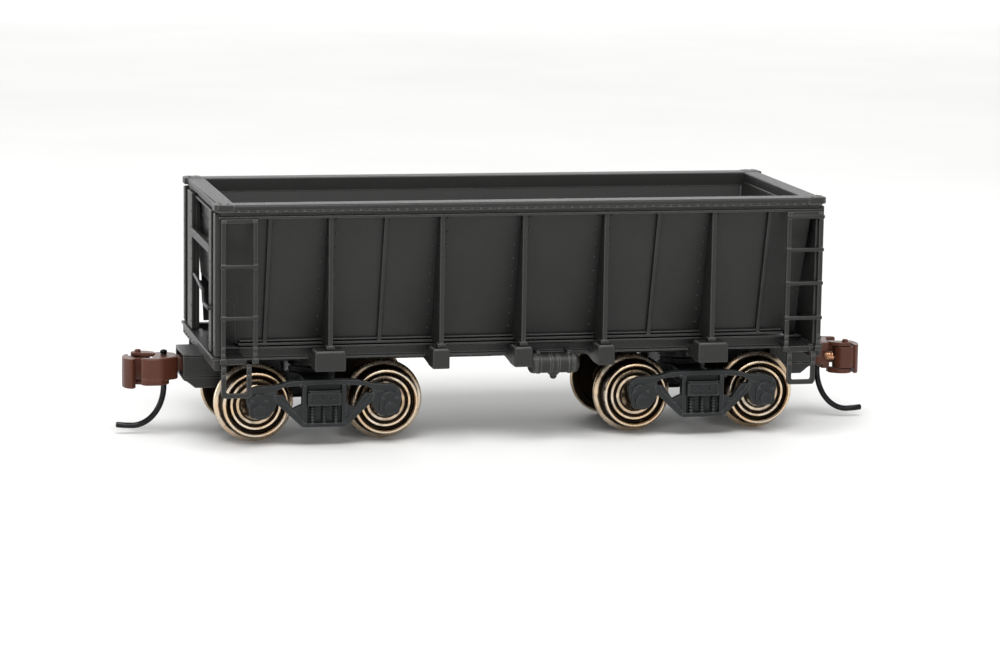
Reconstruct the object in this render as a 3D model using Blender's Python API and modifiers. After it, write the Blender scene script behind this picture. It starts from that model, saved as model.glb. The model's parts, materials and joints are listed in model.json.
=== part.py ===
"""Model hopper car in 1:160 scale, for 9 mm gauge track.

Blender 4.5 script. The model is in metres, +Z up, standing on its wheel flanges at z = 0.
+X runs along the car to its B end, -Y is the side with the air reservoir, and the origin is
half way between the trucks. Sizes below are in millimetres and become metres in the helpers.
The end walls, grab irons and couplers are the same when the car is turned half round, so each is
made once at +X. The side ladders are mirrored instead: four rungs at the B end, two at the A end.
"""

import math

import bmesh
import bpy
from mathutils import Matrix, Vector

MM = 0.001
GAP = 0.05                      # space kept between pieces that touch

# Running gear
AXLE_Z = 3.25                   # centre of the axles
TREAD_R = 2.65
FLANGE_R = 3.25
TRUCK_X = 15.75                 # truck centres from the middle of the car
AXLE_X = 5.3                    # axles from the truck centre
WHEEL_BACK_Y = 3.8
WHEEL_FRONT_Y = 5.65
SIDEFRAME_IN_Y = 6.3
SIDEFRAME_OUT_Y = 7.15

# Body
RIM_X = 25.0
RIM_Y = 9.95
RIM_Z = 20.0
MOUTH_X = 23.3                  # the opening inside the rim
MOUTH_Y = 8.1
TUB_TOP_Z = 19.4
TUB_TOP = (24.2, 9.0)           # outer half sizes of the tub under the rim
TUB_LOW_Z = 8.25
TUB_LOW = (23.66, 6.0)          # outer half sizes of the tub at its floor, before its ends are tucked in
END_TUCK = ((22.75, 8.0), (23.0, 11.6), (23.9, 12.2))   # under the upright end walls, as (x, z)
WALL = 0.7
FLOOR_Z = 9.2
POST_Y = 9.55                   # outer edge of the upright posts
MAIN_POSTS_X = (-15.7, -6.72, 0.0, 6.72, 15.7)
LOW_RIBS_X = (-20.5, -11.2, 11.2, 20.5)
CORNER_X = 24.95
CORNER_Y = 9.5

# End walls: a thin web at each corner carries a corner bar and a strip
END_WEB_X = (24.3, 24.6)
CORNER_BAR_Y = 8.58             # inner edge of the corner bars
WIDE_STRIP_Y = (4.25, 6.85)
NARROW_STRIP_Y = (6.0, 7.24)
CROSSBAR_Z = (15.65, 16.35)
FRAME_LOW_Z = 7.92              # foot of the bars and strips, just above the end sill

# Underframe
SILL_LOW_Z = 7.1
DECK_Z = 7.5
DOOR_X = (1.3, 5.4)             # openings in the floor above the hopper doors
DOOR_Y = (2.1, 5.4)
BEARER_Y = 9.9
BEARER_LOW_Z = 6.58
BEARER_TOP_Z = 8.0
BOLSTER_HALF = 1.25
END_SILL_X = 25.0
END_SILL_Y = 9.4
BOX_X = (22.8, 26.5)            # draft box, from its back to its mouth
BOX_Y = 2.5
BOX_LOW_Z = 5.1
BOX_TOP_Z = 6.72
COUPLER_X = 24.6                # coupler pivot
KNUCKLE_PIVOT = (29.75, -1.45)
TRIP_PIN_X = 27.8

# Ladders
LADDER_X = {"b": (21.95, 24.65), "a": (21.75, 24.3)}    # middles of the two stiles at each end
LADDER_Y = (9.55, 9.85)
LADDER_Z = (7.35, 18.85)
RUNGS_FULL = (10.1, 12.95, 15.7, 18.4)
RUNGS_SHORT = (11.0, 15.1)
STEP_LOW_Z = 4.6

AXLE_PLACES = {
    "b_outer": (TRUCK_X + AXLE_X, "b"),
    "b_inner": (TRUCK_X - AXLE_X, "b"),
    "a_inner": (-TRUCK_X + AXLE_X, "a"),
    "a_outer": (-TRUCK_X - AXLE_X, "a"),
}
ENDS = {"b": 1, "a": -1}
WHEEL_STEPS = 26                # flats round a wheel
COIL_STEPS = 6                  # points in one turn of a spring
SIDES = {-1: "near", 1: "far"}


# Helpers ---------------------------------------------------------------------------------

def clear_scene():
    for obj in list(bpy.data.objects):
        bpy.data.objects.remove(obj)


def add_object(data, name="shape"):
    obj = bpy.data.objects.new(name, data)
    bpy.context.scene.collection.objects.link(obj)
    return obj


def from_bmesh(bm):
    mesh = bpy.data.meshes.new("shape")
    bmesh.ops.recalc_face_normals(bm, faces=bm.faces)
    bm.to_mesh(mesh)
    bm.free()
    return add_object(mesh)


def bake(obj):
    """Replaces an object with the plain mesh that its modifiers or curve give, welded."""
    graph = bpy.context.evaluated_depsgraph_get()
    mesh = bpy.data.meshes.new_from_object(obj.evaluated_get(graph), depsgraph=graph)
    mesh.transform(obj.matrix_world)
    bpy.data.objects.remove(obj)
    bm = bmesh.new()
    bm.from_mesh(mesh)
    bpy.data.meshes.remove(mesh)
    bmesh.ops.remove_doubles(bm, verts=bm.verts, dist=1e-7)
    return from_bmesh(bm)


def block(low, high):
    """A box between two opposite corners."""
    return frustum(low[2], low[:2], high[:2], high[2], low[:2], high[:2])


def frustum(z_low, low_a, low_b, z_high, high_a, high_b):
    """A box whose top and bottom rectangles, each given by two corners, may differ."""
    bm = bmesh.new()
    bmesh.ops.create_cube(bm, size=2.0)
    for vert in bm.verts:
        top = vert.co.z > 0
        a, b, z = (high_a, high_b, z_high) if top else (low_a, low_b, z_low)
        x = b[0] if vert.co.x > 0 else a[0]
        y = b[1] if vert.co.y > 0 else a[1]
        vert.co = Vector((x, y, z)) * MM
    return from_bmesh(bm)


def tapered(z_low, half_low, z_high, half_high):
    """A frustum centred on the Z axis, from its half sizes."""
    return frustum(z_low, (-half_low[0], -half_low[1]), half_low,
                   z_high, (-half_high[0], -half_high[1]), half_high)


def rod(start, end, radius, segments=16, end_radius=None):
    """A cylinder or cone between two points."""
    start, end = Vector(start) * MM, Vector(end) * MM
    along = end - start
    top = radius if end_radius is None else end_radius
    bm = bmesh.new()
    bmesh.ops.create_cone(bm, cap_ends=True, segments=segments, radius1=radius * MM,
                          radius2=top * MM, depth=along.length)
    turn = along.to_track_quat("Z", "Y").to_matrix().to_4x4()
    bmesh.ops.transform(bm, matrix=Matrix.Translation((start + end) / 2) @ turn, verts=bm.verts)
    return from_bmesh(bm)


def plate(outline, low, high, plane):
    """A flat outline made thick from low to high along the axis that is not in its plane."""
    curve = bpy.data.curves.new("outline", "CURVE")
    curve.dimensions = "2D"
    curve.fill_mode = "BOTH"
    curve.extrude = (high - low) / 2 * MM
    spline = curve.splines.new("POLY")
    spline.points.add(len(outline) - 1)
    for point, (a, b) in zip(spline.points, outline):
        point.co = (a * MM, b * MM, 0.0, 1.0)
    spline.use_cyclic_u = True
    obj = add_object(curve)
    middle = (low + high) / 2 * MM
    if plane == "XY":
        obj.matrix_world = Matrix.Translation((0, 0, middle))
    elif plane == "XZ":
        obj.matrix_world = Matrix.Translation((0, middle, 0)) @ Matrix.Rotation(math.pi / 2, 4, "X")
    else:
        columns = Matrix(((0, 0, 1, middle), (1, 0, 0, 0), (0, 1, 0, 0), (0, 0, 0, 1)))
        obj.matrix_world = columns
    bpy.context.view_layer.update()
    return bake(obj)


def turned(profile, segments, axis_y=False):
    """A turned solid about Z from (radius, z) points that run from top to bottom."""
    mesh = bpy.data.meshes.new("profile")
    points = [(r * MM, 0.0, z * MM) for r, z in profile]
    mesh.from_pydata(points, [(i, i + 1) for i in range(len(points) - 1)], [])
    obj = add_object(mesh)
    screw = obj.modifiers.new("turn", "SCREW")
    screw.steps = screw.render_steps = segments
    screw.use_merge_vertices = True
    screw.merge_threshold = 1e-6
    if axis_y:
        obj.matrix_world = Matrix.Rotation(math.pi / 2, 4, "X")
        bpy.context.view_layer.update()
    return bake(obj)


def wire(points, radius, resolution=1):
    """A round wire through points, with closed ends."""
    curve = bpy.data.curves.new("wire", "CURVE")
    curve.dimensions = "3D"
    curve.bevel_depth = radius * MM
    curve.bevel_resolution = resolution
    curve.use_fill_caps = True
    spline = curve.splines.new("POLY")
    spline.points.add(len(points) - 1)
    for point, place in zip(spline.points, points):
        point.co = (*(Vector(place) * MM), 1.0)
    return bake(add_object(curve))


def combine(base, tools, operation):
    """Joins or cuts the base with all the tools at once, which uses the tools up."""
    group = bpy.data.collections.new("tools")
    for tool in tools:
        group.objects.link(tool)
    boolean = base.modifiers.new("combine", "BOOLEAN")
    boolean.operand_type = "COLLECTION"
    boolean.collection = group
    boolean.operation = operation
    boolean.solver = "EXACT"
    result = bake(base)
    for tool in tools:
        bpy.data.objects.remove(tool)
    bpy.data.collections.remove(group)
    return result


def union(*shapes):
    return combine(shapes[0], list(shapes[1:]), "UNION")


def cut(base, *tools):
    return combine(base, list(tools), "DIFFERENCE")


def shift(obj, x=0.0, y=0.0, z=0.0):
    obj.data.transform(Matrix.Translation(Vector((x, y, z)) * MM))
    return obj


def to_corner(obj, end, side):
    """Moves a piece made at the +X, -Y corner to another corner by mirroring it."""
    obj.data.transform(Matrix.Diagonal((end, -side, 1, 1)))
    if end * side > 0:
        obj.data.flip_normals()
    return obj


def turn_end(obj, end):
    """Turns a piece made at the +X end half round when it belongs at the -X end."""
    if end < 0:
        obj.data.transform(Matrix.Rotation(math.pi, 4, "Z"))
    return obj


def span(a, b, sign):
    """The ordered pair a, b on one side of zero."""
    return (a, b) if sign > 0 else (-b, -a)


# Materials and placing -------------------------------------------------------------------

MATERIALS = {
    "black_plastic": ((0.045, 0.045, 0.046), 0.42, 0.0),
    "truck_plastic": ((0.042, 0.044, 0.046), 0.5, 0.0),
    "coupler_plastic": ((0.095, 0.045, 0.032), 0.45, 0.0),
    "wheel_metal": ((0.34, 0.29, 0.24), 0.22, 1.0),
    "dark_wire": ((0.02, 0.02, 0.022), 0.25, 1.0),
    "bronze_wire": ((0.62, 0.36, 0.22), 0.3, 1.0),
    "steel": ((0.32, 0.31, 0.3), 0.4, 1.0),
}


def make_materials():
    made = {}
    for name, (colour, roughness, metallic) in MATERIALS.items():
        material = bpy.data.materials.new(name)
        material.use_nodes = True
        shader = material.node_tree.nodes["Principled BSDF"]
        shader.inputs["Base Color"].default_value = (*colour, 1.0)
        shader.inputs["Roughness"].default_value = roughness
        shader.inputs["Metallic"].default_value = metallic
        made[name] = material
    return made


class Car:
    """Holds the collection, the materials and one empty for each moving body."""

    def __init__(self):
        self.parts = bpy.data.collections.new("model_hopper_car")
        bpy.context.scene.collection.children.link(self.parts)
        self.materials = make_materials()
        self.pivots = {}
        self.add_pivot("car_body", (0, 0, 0))

    def add_pivot(self, name, place, parent=None):
        empty = bpy.data.objects.new("pivot_" + name, None)
        self.parts.objects.link(empty)
        self.pivots[name] = (empty, Vector(place) * MM)
        base = Vector((0, 0, 0))
        if parent:
            empty.parent, base = self.pivots[parent]
        empty.location = Vector(place) * MM - base

    def add(self, obj, name, body, material):
        """Names a finished shape and hangs it on its body's empty, without moving it."""
        empty, place = self.pivots[body]
        obj.name = name
        obj.data.name = name
        obj.data.transform(Matrix.Translation(-place))
        obj.parent = empty
        obj.data.materials.clear()
        obj.data.materials.append(self.materials[material])
        obj.data.shade_smooth()
        obj.data.set_sharp_from_angle(angle=math.radians(35))
        for collection in list(obj.users_collection):
            collection.objects.unlink(obj)
        self.parts.objects.link(obj)


# Hopper body -----------------------------------------------------------------------------

def tub_outer_y(z):
    """Half width of the sloping side sheets at a height."""
    along = (z - TUB_LOW_Z) / (TUB_TOP_Z - TUB_LOW_Z)
    return TUB_LOW[1] + along * (TUB_TOP[1] - TUB_LOW[1])


def side_post(x, side, outer_top, outer_low, width):
    """An upright web on a sloping side sheet, out to the given distances from the centre."""
    root = 0.4
    outline = [
        (side * outer_low, TUB_LOW_Z + 0.05), (side * outer_top, TUB_TOP_Z - 0.2),
        (side * (TUB_TOP[1] - root), TUB_TOP_Z - 0.2), (side * (TUB_LOW[1] - root), TUB_LOW_Z + 0.05),
    ]
    return plate(outline, x - width / 2, x + width / 2, "YZ")


def hopper_rim():
    """The top chord: a flat frame with a small ledge under it and a cap at each corner."""
    frame = block((-RIM_X + 0.2, -RIM_Y, RIM_Z - 0.55), (RIM_X - 0.2, RIM_Y, RIM_Z))
    pieces = [block((-24.5, -9.5, TUB_TOP_Z - 0.35), (24.5, 9.5, RIM_Z - 0.3)),
              block((-24.6, -9.7, TUB_TOP_Z - 0.5), (24.6, 9.7, TUB_TOP_Z - 0.25))]
    for end in (-1, 1):
        for side in (-1, 1):
            x = span(23.4, RIM_X, end)
            y = span(8.3, RIM_Y, side)
            pieces.append(block((x[0], y[0], RIM_Z - 0.55), (x[1], y[1], RIM_Z)))
    return union(frame, *pieces)


def end_frame(end):
    """The bars, strips and crossbar that stand clear of an end wall.

    Looking at an end from outside, its wide strip is on the left and its narrow one on the right.
    """
    web = span(*END_WEB_X, end)
    strip = span(END_WEB_X[1] - 0.05, CORNER_X, end)
    bar = span(END_WEB_X[0] - 0.05, CORNER_X, end)
    pieces = []
    for side, strip_y in ((-end, WIDE_STRIP_Y), (end, NARROW_STRIP_Y)):
        for x, edges in ((web, (strip_y[0], CORNER_Y)), (strip, strip_y), (bar, (CORNER_BAR_Y, CORNER_Y))):
            y = span(*edges, side)
            pieces.append(block((x[0], y[0], FRAME_LOW_Z), (x[1], y[1], TUB_TOP_Z)))
    y = span(-WIDE_STRIP_Y[0] - 0.2, NARROW_STRIP_Y[0] + 0.2, end)
    pieces.append(block((strip[0], y[0], CROSSBAR_Z[0]), (strip[1], y[1], CROSSBAR_Z[1])))
    return pieces


def hopper_inside():
    """The load space: a straight mouth, sloping sides, and end slopes down to the floor."""
    top = (MOUTH_X - 0.15, TUB_TOP[1] - WALL)
    knee_z = 14.0
    knee = (22.5, tub_outer_y(knee_z) - WALL)
    floor = (12.5, TUB_LOW[1] - WALL)
    mouth = block((-MOUTH_X, -MOUTH_Y, TUB_TOP_Z - 0.6), (MOUTH_X, MOUTH_Y, RIM_Z + 1))
    return [mouth, tapered(knee_z - 0.001, knee, TUB_TOP_Z, top), tapered(FLOOR_Z, floor, knee_z, knee)]


def tub_block():
    """The tub as a solid block, with the foot of each end tucked in."""
    beyond = TUB_TOP[0] + 2
    tucks = []
    for end in (-1, 1):
        outline = [(end * x, z) for x, z in (*END_TUCK, (beyond, END_TUCK[2][1]), (beyond, END_TUCK[0][1]))]
        tucks.append(plate(outline, -RIM_Y, RIM_Y, "XZ"))
    return cut(tapered(TUB_LOW_Z, TUB_LOW, TUB_TOP_Z, TUB_TOP), *tucks)


def make_hopper_body():
    pieces = [hopper_rim()]
    for side in (-1, 1):
        for x in MAIN_POSTS_X:
            pieces.append(side_post(x, side, POST_Y, POST_Y, 0.42))
        for x in LOW_RIBS_X:
            pieces.append(side_post(x, side, TUB_TOP[1] + 0.4, TUB_LOW[1] + 0.4, 0.34))
        y = span(5.6, TUB_LOW[1] + 0.5, side)
        pieces.append(block((-22.6, y[0], TUB_LOW_Z), (22.6, y[1], TUB_LOW_Z + 0.28)))
    for end in (-1, 1):
        pieces.extend(end_frame(end))
    shell = union(tub_block(), *pieces)
    shell = cut(shell, *hopper_inside())
    ridge_z = 12.4
    ridge = tapered(FLOOR_Z - 0.2, (4.2, TUB_LOW[1] - 0.3), ridge_z, (0.25, tub_outer_y(ridge_z) - 0.3))
    return union(shell, ridge)


# Underframe ------------------------------------------------------------------------------

def cross_member(x_low, x_high, web):
    """A bearer across the car: square ends that carry the posts, on a web deepest at its ends."""
    middle = (x_low + x_high) / 2
    edge = [(9.3, DECK_Z), (9.3, BEARER_LOW_Z + 0.1), (8.1, BEARER_LOW_Z + 0.1), (6.4, SILL_LOW_Z + 0.05)]
    outline = edge + [(-y, z) for y, z in reversed(edge)]
    pieces = [plate(outline, middle - web, middle + web, "YZ")]
    for side in (-1, 1):
        y = span(8.0, BEARER_Y, side)
        pieces.append(block((x_low, y[0], BEARER_LOW_Z), (x_high, y[1], BEARER_TOP_Z)))
    return union(*pieces)


def draft_box(end):
    """The coupler's box with its boss, open below and at its mouth."""
    x = span(BOX_X[0], BOX_X[1], end)
    inner = span(BOX_X[0] + 0.4, BOX_X[1] + 1, end)
    wall = 0.45
    box = block((x[0], -BOX_Y, BOX_LOW_Z + 0.02), (x[1], BOX_Y, BOX_TOP_Z + 0.25))
    room = block((inner[0], -BOX_Y + wall, BOX_LOW_Z - 1), (inner[1], BOX_Y - wall, BOX_TOP_Z - 0.02))
    boss = rod((end * COUPLER_X, 0, BOX_LOW_Z + 0.1), (end * COUPLER_X, 0, BOX_TOP_Z + 0.1), 0.62)
    return union(cut(box, room), boss)


def end_platform(end):
    """The end sill with its lip, and the deck that the corner posts stand on."""
    sill = span(24.1, END_SILL_X, end)
    lip = span(24.0, END_SILL_X + 0.15, end)
    deck = span(22.4, END_SILL_X - 0.1, end)
    return union(
        block((sill[0], -END_SILL_Y, 6.8), (sill[1], END_SILL_Y, DECK_Z + 0.2)),
        block((lip[0], -END_SILL_Y, DECK_Z + 0.12), (lip[1], END_SILL_Y, DECK_Z + 0.36)),
        block((deck[0], -END_SILL_Y + 0.05, DECK_Z - 0.3), (deck[1], END_SILL_Y - 0.05, DECK_Z + 0.2)),
    )


def make_underframe():
    floor = block((-22.6, -6.2, SILL_LOW_Z + 0.1), (22.6, 6.2, DECK_Z))
    centre_sill_x = BOX_X[0] + 0.2
    pieces = [block((-centre_sill_x, -1.6, 6.1), (centre_sill_x, 1.6, DECK_Z - 0.1))]
    for side in (-1, 1):
        y = span(5.85, 6.6, side)
        pieces.append(block((-24.2, y[0], SILL_LOW_Z), (24.2, y[1], TUB_LOW_Z - 0.1)))
    pieces.append(cross_member(-0.8, 0.7, 0.5))
    for end in (-1, 1):
        bearer = span(6.1, 7.5, end)
        bolster = span(TRUCK_X - BOLSTER_HALF, TRUCK_X + BOLSTER_HALF, end)
        pieces.append(cross_member(bearer[0], bearer[1], 0.5))
        pieces.append(cross_member(bolster[0], bolster[1], 1.1))
        pieces.append(end_platform(end))
        pieces.append(draft_box(end))
        pieces.append(rod((end * TRUCK_X, 0, 5.62), (end * TRUCK_X, 0, 7.0), 1.9, 24))
    frame = union(floor, *pieces)
    holes = []
    for end in (-1, 1):
        holes.append(rod((end * TRUCK_X, 0, 5.0), (end * TRUCK_X, 0, 7.1), 0.62))
        holes.append(rod((end * COUPLER_X, 0, 4.5), (end * COUPLER_X, 0, 6.4), 0.36))
    doors = []
    for end in (-1, 1):
        for side in (-1, 1):
            x = span(*DOOR_X, end)
            y = span(*DOOR_Y, side)
            doors.append(block((x[0], y[0], SILL_LOW_Z - 0.6), (x[1], y[1], SILL_LOW_Z + 0.22)))
    return cut(frame, *holes, *doors)


def make_air_reservoir():
    """A tank with domed ends, a groove round its middle and a drain, close under the side sill."""
    x_middle, y, z, half, radius, dome = 2.95, -7.6, 6.43, 2.17, 0.72, 0.35
    arc = [math.radians(22.5 * step) for step in range(5)]
    top = [(radius * math.sin(a), half - dome + dome * math.cos(a)) for a in arc]
    top += [(radius, 0.22), (radius - 0.1, 0.14)]
    tank = turned(top + [(r, -along) for r, along in reversed(top)], 16)
    tank.data.transform(Matrix.Rotation(math.pi / 2, 4, "Y"))
    shift(tank, x_middle, y, z)
    drain = rod((x_middle, y, z), (x_middle, y, z - 1.2), 0.62, 8, 0.2)
    return union(tank, drain)


def make_brake_cylinder():
    """An upright cylinder with a flange and a band, on the B end's platform under the end wall."""
    x, y, low, high = 23.68, -4.9, 7.91, 11.4
    radius, flange, band_z = 0.42, 0.54, 9.7
    profile = [(0.0, high), (radius - 0.1, high), (radius, high - 0.12), (radius, band_z + 0.2),
               (flange, band_z + 0.15), (flange, band_z - 0.15), (radius, band_z - 0.2),
               (radius, low + 0.35), (flange, low + 0.3), (flange, low), (0.0, low)]
    return shift(turned(profile, 16), x, y)


# Ladders and steps -----------------------------------------------------------------------

def side_ladder(stiles_x, rungs):
    """A ladder on the -Y side of the +X end: two stiles with rungs in front of them."""
    back, front = -LADDER_Y[0], -LADDER_Y[1]
    proud = front - 0.1
    left, right = stiles_x
    low, high = LADDER_Z
    pieces = []
    for x in stiles_x:
        pieces.append(block((x - 0.2, front, low), (x + 0.2, back, high)))
        pieces.append(block((x - 0.28, proud, low), (x + 0.28, back, low + 0.35)))
    for z in rungs:
        pieces.append(block((left - 0.28, proud, z - 0.18), (right + 0.28, back + 0.02, z + 0.18)))
    pieces.append(block((left, front, high - 0.35), (right, back, high)))
    return union(*pieces)


def sill_step():
    """A stirrup step under a side ladder of the +X end, with a bolt head on each hanger."""
    low, high = STEP_LOW_Z, LADDER_Z[0] - GAP
    y = (-LADDER_Y[1], -LADDER_Y[0] + 0.05)
    pieces = [plate([(22.25, low), (24.2, low), (24.5, low + 0.3), (24.5, low + 0.5),
                     (22.0, low + 0.5), (22.0, low + 0.3)], y[0], y[1], "XZ")]
    for x in (22.24, 24.26):
        pieces.append(block((x - 0.24, y[0], low + 0.35), (x + 0.24, y[1], high)))
        pieces.append(rod((x, y[0] + 0.1, 6.6), (x, y[0] - 0.16, 6.6), 0.24, 8))
    return union(*pieces)


def end_grab_iron():
    """A bent handrail across the +X end: out from the wide strip, over the narrow one, back to its web."""
    start_y, knee_y, foot_y = -WIDE_STRIP_Y[0] + GAP, 4.4, 7.45
    high, low, bend = 12.55, 11.5, 0.45
    near_x, proud_x = 24.74, CORNER_X + 0.2
    points = [(near_x, start_y, high), (proud_x, 3.0, high)]
    for step in range(4):
        angle = math.radians(30 * step)
        points.append((proud_x, knee_y - bend + bend * math.sin(angle), high - bend + bend * math.cos(angle)))
    for step in range(4):
        angle = math.radians(30 * step)
        points.append((proud_x, knee_y + bend - bend * math.cos(angle), low + bend - bend * math.sin(angle)))
    points.append((proud_x, foot_y - 0.2, low))
    points.append((END_WEB_X[1] + GAP, foot_y, low))
    return wire(points, 0.15)


def brake_wheel():
    """A spoked hand wheel on its staff at the +X end, between the narrow strip and the corner bar."""
    x, y, z = CORNER_X + 0.55, 8.0, 14.6
    rim = cut(rod((x - 0.16, y, z), (x + 0.16, y, z), 1.75, 16),
              rod((x - 1, y, z), (x + 1, y, z), 1.42, 16))
    pieces = [rod((x - 0.45, y, z), (x + 0.3, y, z), 0.36, 8)]
    for step in range(3):
        angle = math.radians(60 * step)
        along = Vector((0, math.cos(angle), math.sin(angle))) * 1.6
        centre = Vector((x, y, z))
        pieces.append(rod(centre - along, centre + along, 0.11, 6))
    pieces.append(rod((x - 0.35, y, FRAME_LOW_Z), (x - 0.35, y, z + 0.1), 0.14, 8))
    return union(rim, *pieces)


# Trucks ----------------------------------------------------------------------------------

SIDEFRAME_HALF = [
    (0.0, 5.47), (2.7, 5.39), (3.3, 5.2), (4.0, 5.05), (5.5, 4.98), (6.1, 4.7), (6.35, 4.2), (6.3, 3.6),
    (6.05, 2.85), (5.6, 2.38), (5.0, 2.25), (4.4, 2.5), (3.95, 3.2), (3.7, 3.42), (1.75, 1.6), (0.0, 1.6),
]
SIDE_WINDOW = [(1.78, 5.0), (3.3, 4.95), (3.3, 4.2), (2.5, 3.1), (1.78, 3.42)]
SPRINGS_X = (-0.95, 0.0, 0.95)
SPRING_Z = (1.9, 3.4)
BOLSTER_END_Z = (3.35, 4.62)
ARCH_LOW_Z = 5.07               # underside of the arch over the bolster
JOURNAL_CAP_Z = 3.1


def mirrored_outline(half):
    """A closed outline from its +X half, whose first and last points lie on the middle."""
    return half + [(-x, z) for x, z in reversed(half[1:-1])]


def sideframe(side):
    """A cast side of a truck: arched top, bolster end over three springs, journal boxes."""
    inner, outer = SIDEFRAME_IN_Y, SIDEFRAME_OUT_Y
    y = span(inner, outer, side)
    frame = plate(mirrored_outline(SIDEFRAME_HALF), y[0], y[1], "XZ")
    windows = [plate([(sign * x, z) for x, z in SIDE_WINDOW], y[0] - 1, y[1] + 1, "XZ") for sign in (-1, 1)]
    pocket = span(outer - 0.4, outer + 1, side)
    windows.append(block((-1.42, pocket[0], SPRING_Z[0] + 0.05), (1.42, pocket[1], ARCH_LOW_Z)))
    frame = cut(frame, *windows)
    face = span(outer - 0.6, outer + 0.2, side)
    pieces = [block((-1.37, face[0], BOLSTER_END_Z[0]), (1.37, face[1], BOLSTER_END_Z[1]))]
    spring_y = side * (outer - 0.2)
    for x in SPRINGS_X:
        pieces.append(rod((x, spring_y, SPRING_Z[0]), (x, spring_y, SPRING_Z[1]), 0.22, 8))
    for end in (-1, 1):
        x = end * AXLE_X
        boss = (x, side * (inner + 0.1), AXLE_Z), (x, side * (outer + 0.2), AXLE_Z)
        cap = (x, side * outer, JOURNAL_CAP_Z), (x, side * (outer + 0.5), JOURNAL_CAP_Z)
        pieces.append(rod(*boss, 0.95, 16))
        pieces.append(rod(*cap, 0.58, 12, 0.48))
    frame = union(frame, *pieces)
    cups = []
    for end in (-1, 1):
        x = end * AXLE_X
        mouth, bottom = side * (inner - 0.3), side * (inner + 0.72)
        cups.append(rod((x, mouth, AXLE_Z), (x, bottom, AXLE_Z), 0.98, 12, 0.12))
    return cut(frame, *cups)


def truck_frame():
    """Both sides joined by the bolster, which has a centre bearing and a hole for its screw."""
    bolster = block((-1.3, -SIDEFRAME_IN_Y - 0.2, 3.95), (1.3, SIDEFRAME_IN_Y + 0.2, 5.1))
    bearing = rod((0, 0, 4.4), (0, 0, 5.55), 1.8, 24)
    frame = union(bolster, bearing, sideframe(-1), sideframe(1))
    hole = rod((0, 0, 3), (0, 0, 6), 0.62)
    seat = rod((0, 0, 3), (0, 0, 4.3), 1.25, 20)
    return cut(frame, hole, seat)


def truck_screw():
    """A headed screw up through the bolster: the truck turns on it."""
    head = rod((0, 0, 3.9), (0, 0, 4.25), 1.15, 20)
    shank = rod((0, 0, 4.1), (0, 0, 7.05), 0.55, 16)
    slot = block((-1.5, -0.12, 3.5), (1.5, 0.12, 4.05))
    return cut(union(head, shank), slot)


def axle():
    """A straight axle with needle points, along Y at the origin."""
    shoulder = SIDEFRAME_IN_Y - 0.22
    tip = SIDEFRAME_IN_Y + 0.6
    profile = [(0.0, tip), (0.75, shoulder), (0.75, -shoulder), (0.0, -tip)]
    return turned(profile, 20, axis_y=True)


def wheel(side):
    """A flanged wheel with a dished face, along Y at the origin, on one side of the truck."""
    bore = 0.75 + 0.02
    back, front = WHEEL_BACK_Y, WHEEL_FRONT_Y
    profile = [
        (bore, front - 0.15), (1.15, front - 0.15), (1.3, front - 0.5), (2.0, front - 0.42),
        (2.15, front), (TREAD_R - 0.05, front), (TREAD_R, front - 0.08), (TREAD_R + 0.04, back + 0.6),
        (FLANGE_R - 0.12, back + 0.38), (FLANGE_R, back + 0.22), (FLANGE_R - 0.08, back),
        (bore, back), (bore, front - 0.15),
    ]
    disc = turned(profile, WHEEL_STEPS, axis_y=True)
    if side > 0:
        disc.data.transform(Matrix.Rotation(math.pi, 4, "Z"))
    return disc


# Couplers, made at the +X end ------------------------------------------------------------

HEAD = [(26.75, -1.0), (27.5, -1.45), (28.45, -1.45), (28.45, -0.35), (28.75, 0.35), (28.85, 1.2),
        (29.75, 1.25), (29.85, 1.7), (29.45, 2.05), (28.2, 2.05), (26.75, 1.1)]
JAW = [(28.4, -1.4), (29.1, -2.0), (29.75, -2.05), (30.2, -1.85), (30.35, -1.45), (30.2, -1.05),
       (29.7, -0.85), (28.4, -0.5)]
KNUCKLE_ROOT = [(28.75, -0.95), (28.75, -1.55), (29.2, -2.15), (30.1, -2.1), (30.7, -1.6), (30.7, -0.6),
                (29.6, -0.6)]
KNUCKLE_NOSE = [(30.5, -2.0), (30.9, -1.6), (31.15, -0.7), (31.05, 0.35), (30.5, 0.95), (30.05, 0.4),
                (30.25, -0.3), (30.5, -0.85)]
JAWS_Z = ((3.98, 4.38), (6.3, 6.62))
NOSE_Z = (3.95, 6.38)
SHANK_Z = (5.3, 6.5)


def coupler_shank():
    """The coupler's flat shank with its pivot ring, and the head with its guard arm."""
    shank = block((COUPLER_X + 0.4, -0.85, SHANK_Z[0]), (27.6, 0.85, SHANK_Z[1]))
    ring = rod((COUPLER_X, 0, SHANK_Z[0]), (COUPLER_X, 0, SHANK_Z[1]), 1.2, 24)
    head = plate(HEAD, 4.35, JAWS_Z[1][1] - 0.05, "XY")
    chamfer = plate([(26.5, 4.0), (27.9, 4.0), (26.5, 4.75)], -3, 3, "XZ")
    jaws = [plate(JAW, low, high, "XY") for low, high in JAWS_Z]
    body = union(shank, ring, head, *jaws)
    hole = rod((COUPLER_X, 0, 5), (COUPLER_X, 0, 7), 0.7, 20)
    pin_hole = rod((TRIP_PIN_X, 0, 4), (TRIP_PIN_X, 0, 7), 0.27, 12)
    pivot_hole = rod((*KNUCKLE_PIVOT, 3.5), (*KNUCKLE_PIVOT, 7), 0.32, 12)
    return cut(body, chamfer, hole, pin_hole, pivot_hole)


def knuckle():
    """The swinging jaw: its root between the coupler's jaws, its tall nose and its pin."""
    root = plate(KNUCKLE_ROOT, JAWS_Z[0][1] + GAP, JAWS_Z[1][0] - GAP, "XY")
    nose = plate(KNUCKLE_NOSE, *NOSE_Z, "XY")
    pin = rod((*KNUCKLE_PIVOT, 4.1), (*KNUCKLE_PIVOT, 6.85), 0.27, 12)
    return union(root, nose, pin)


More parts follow.
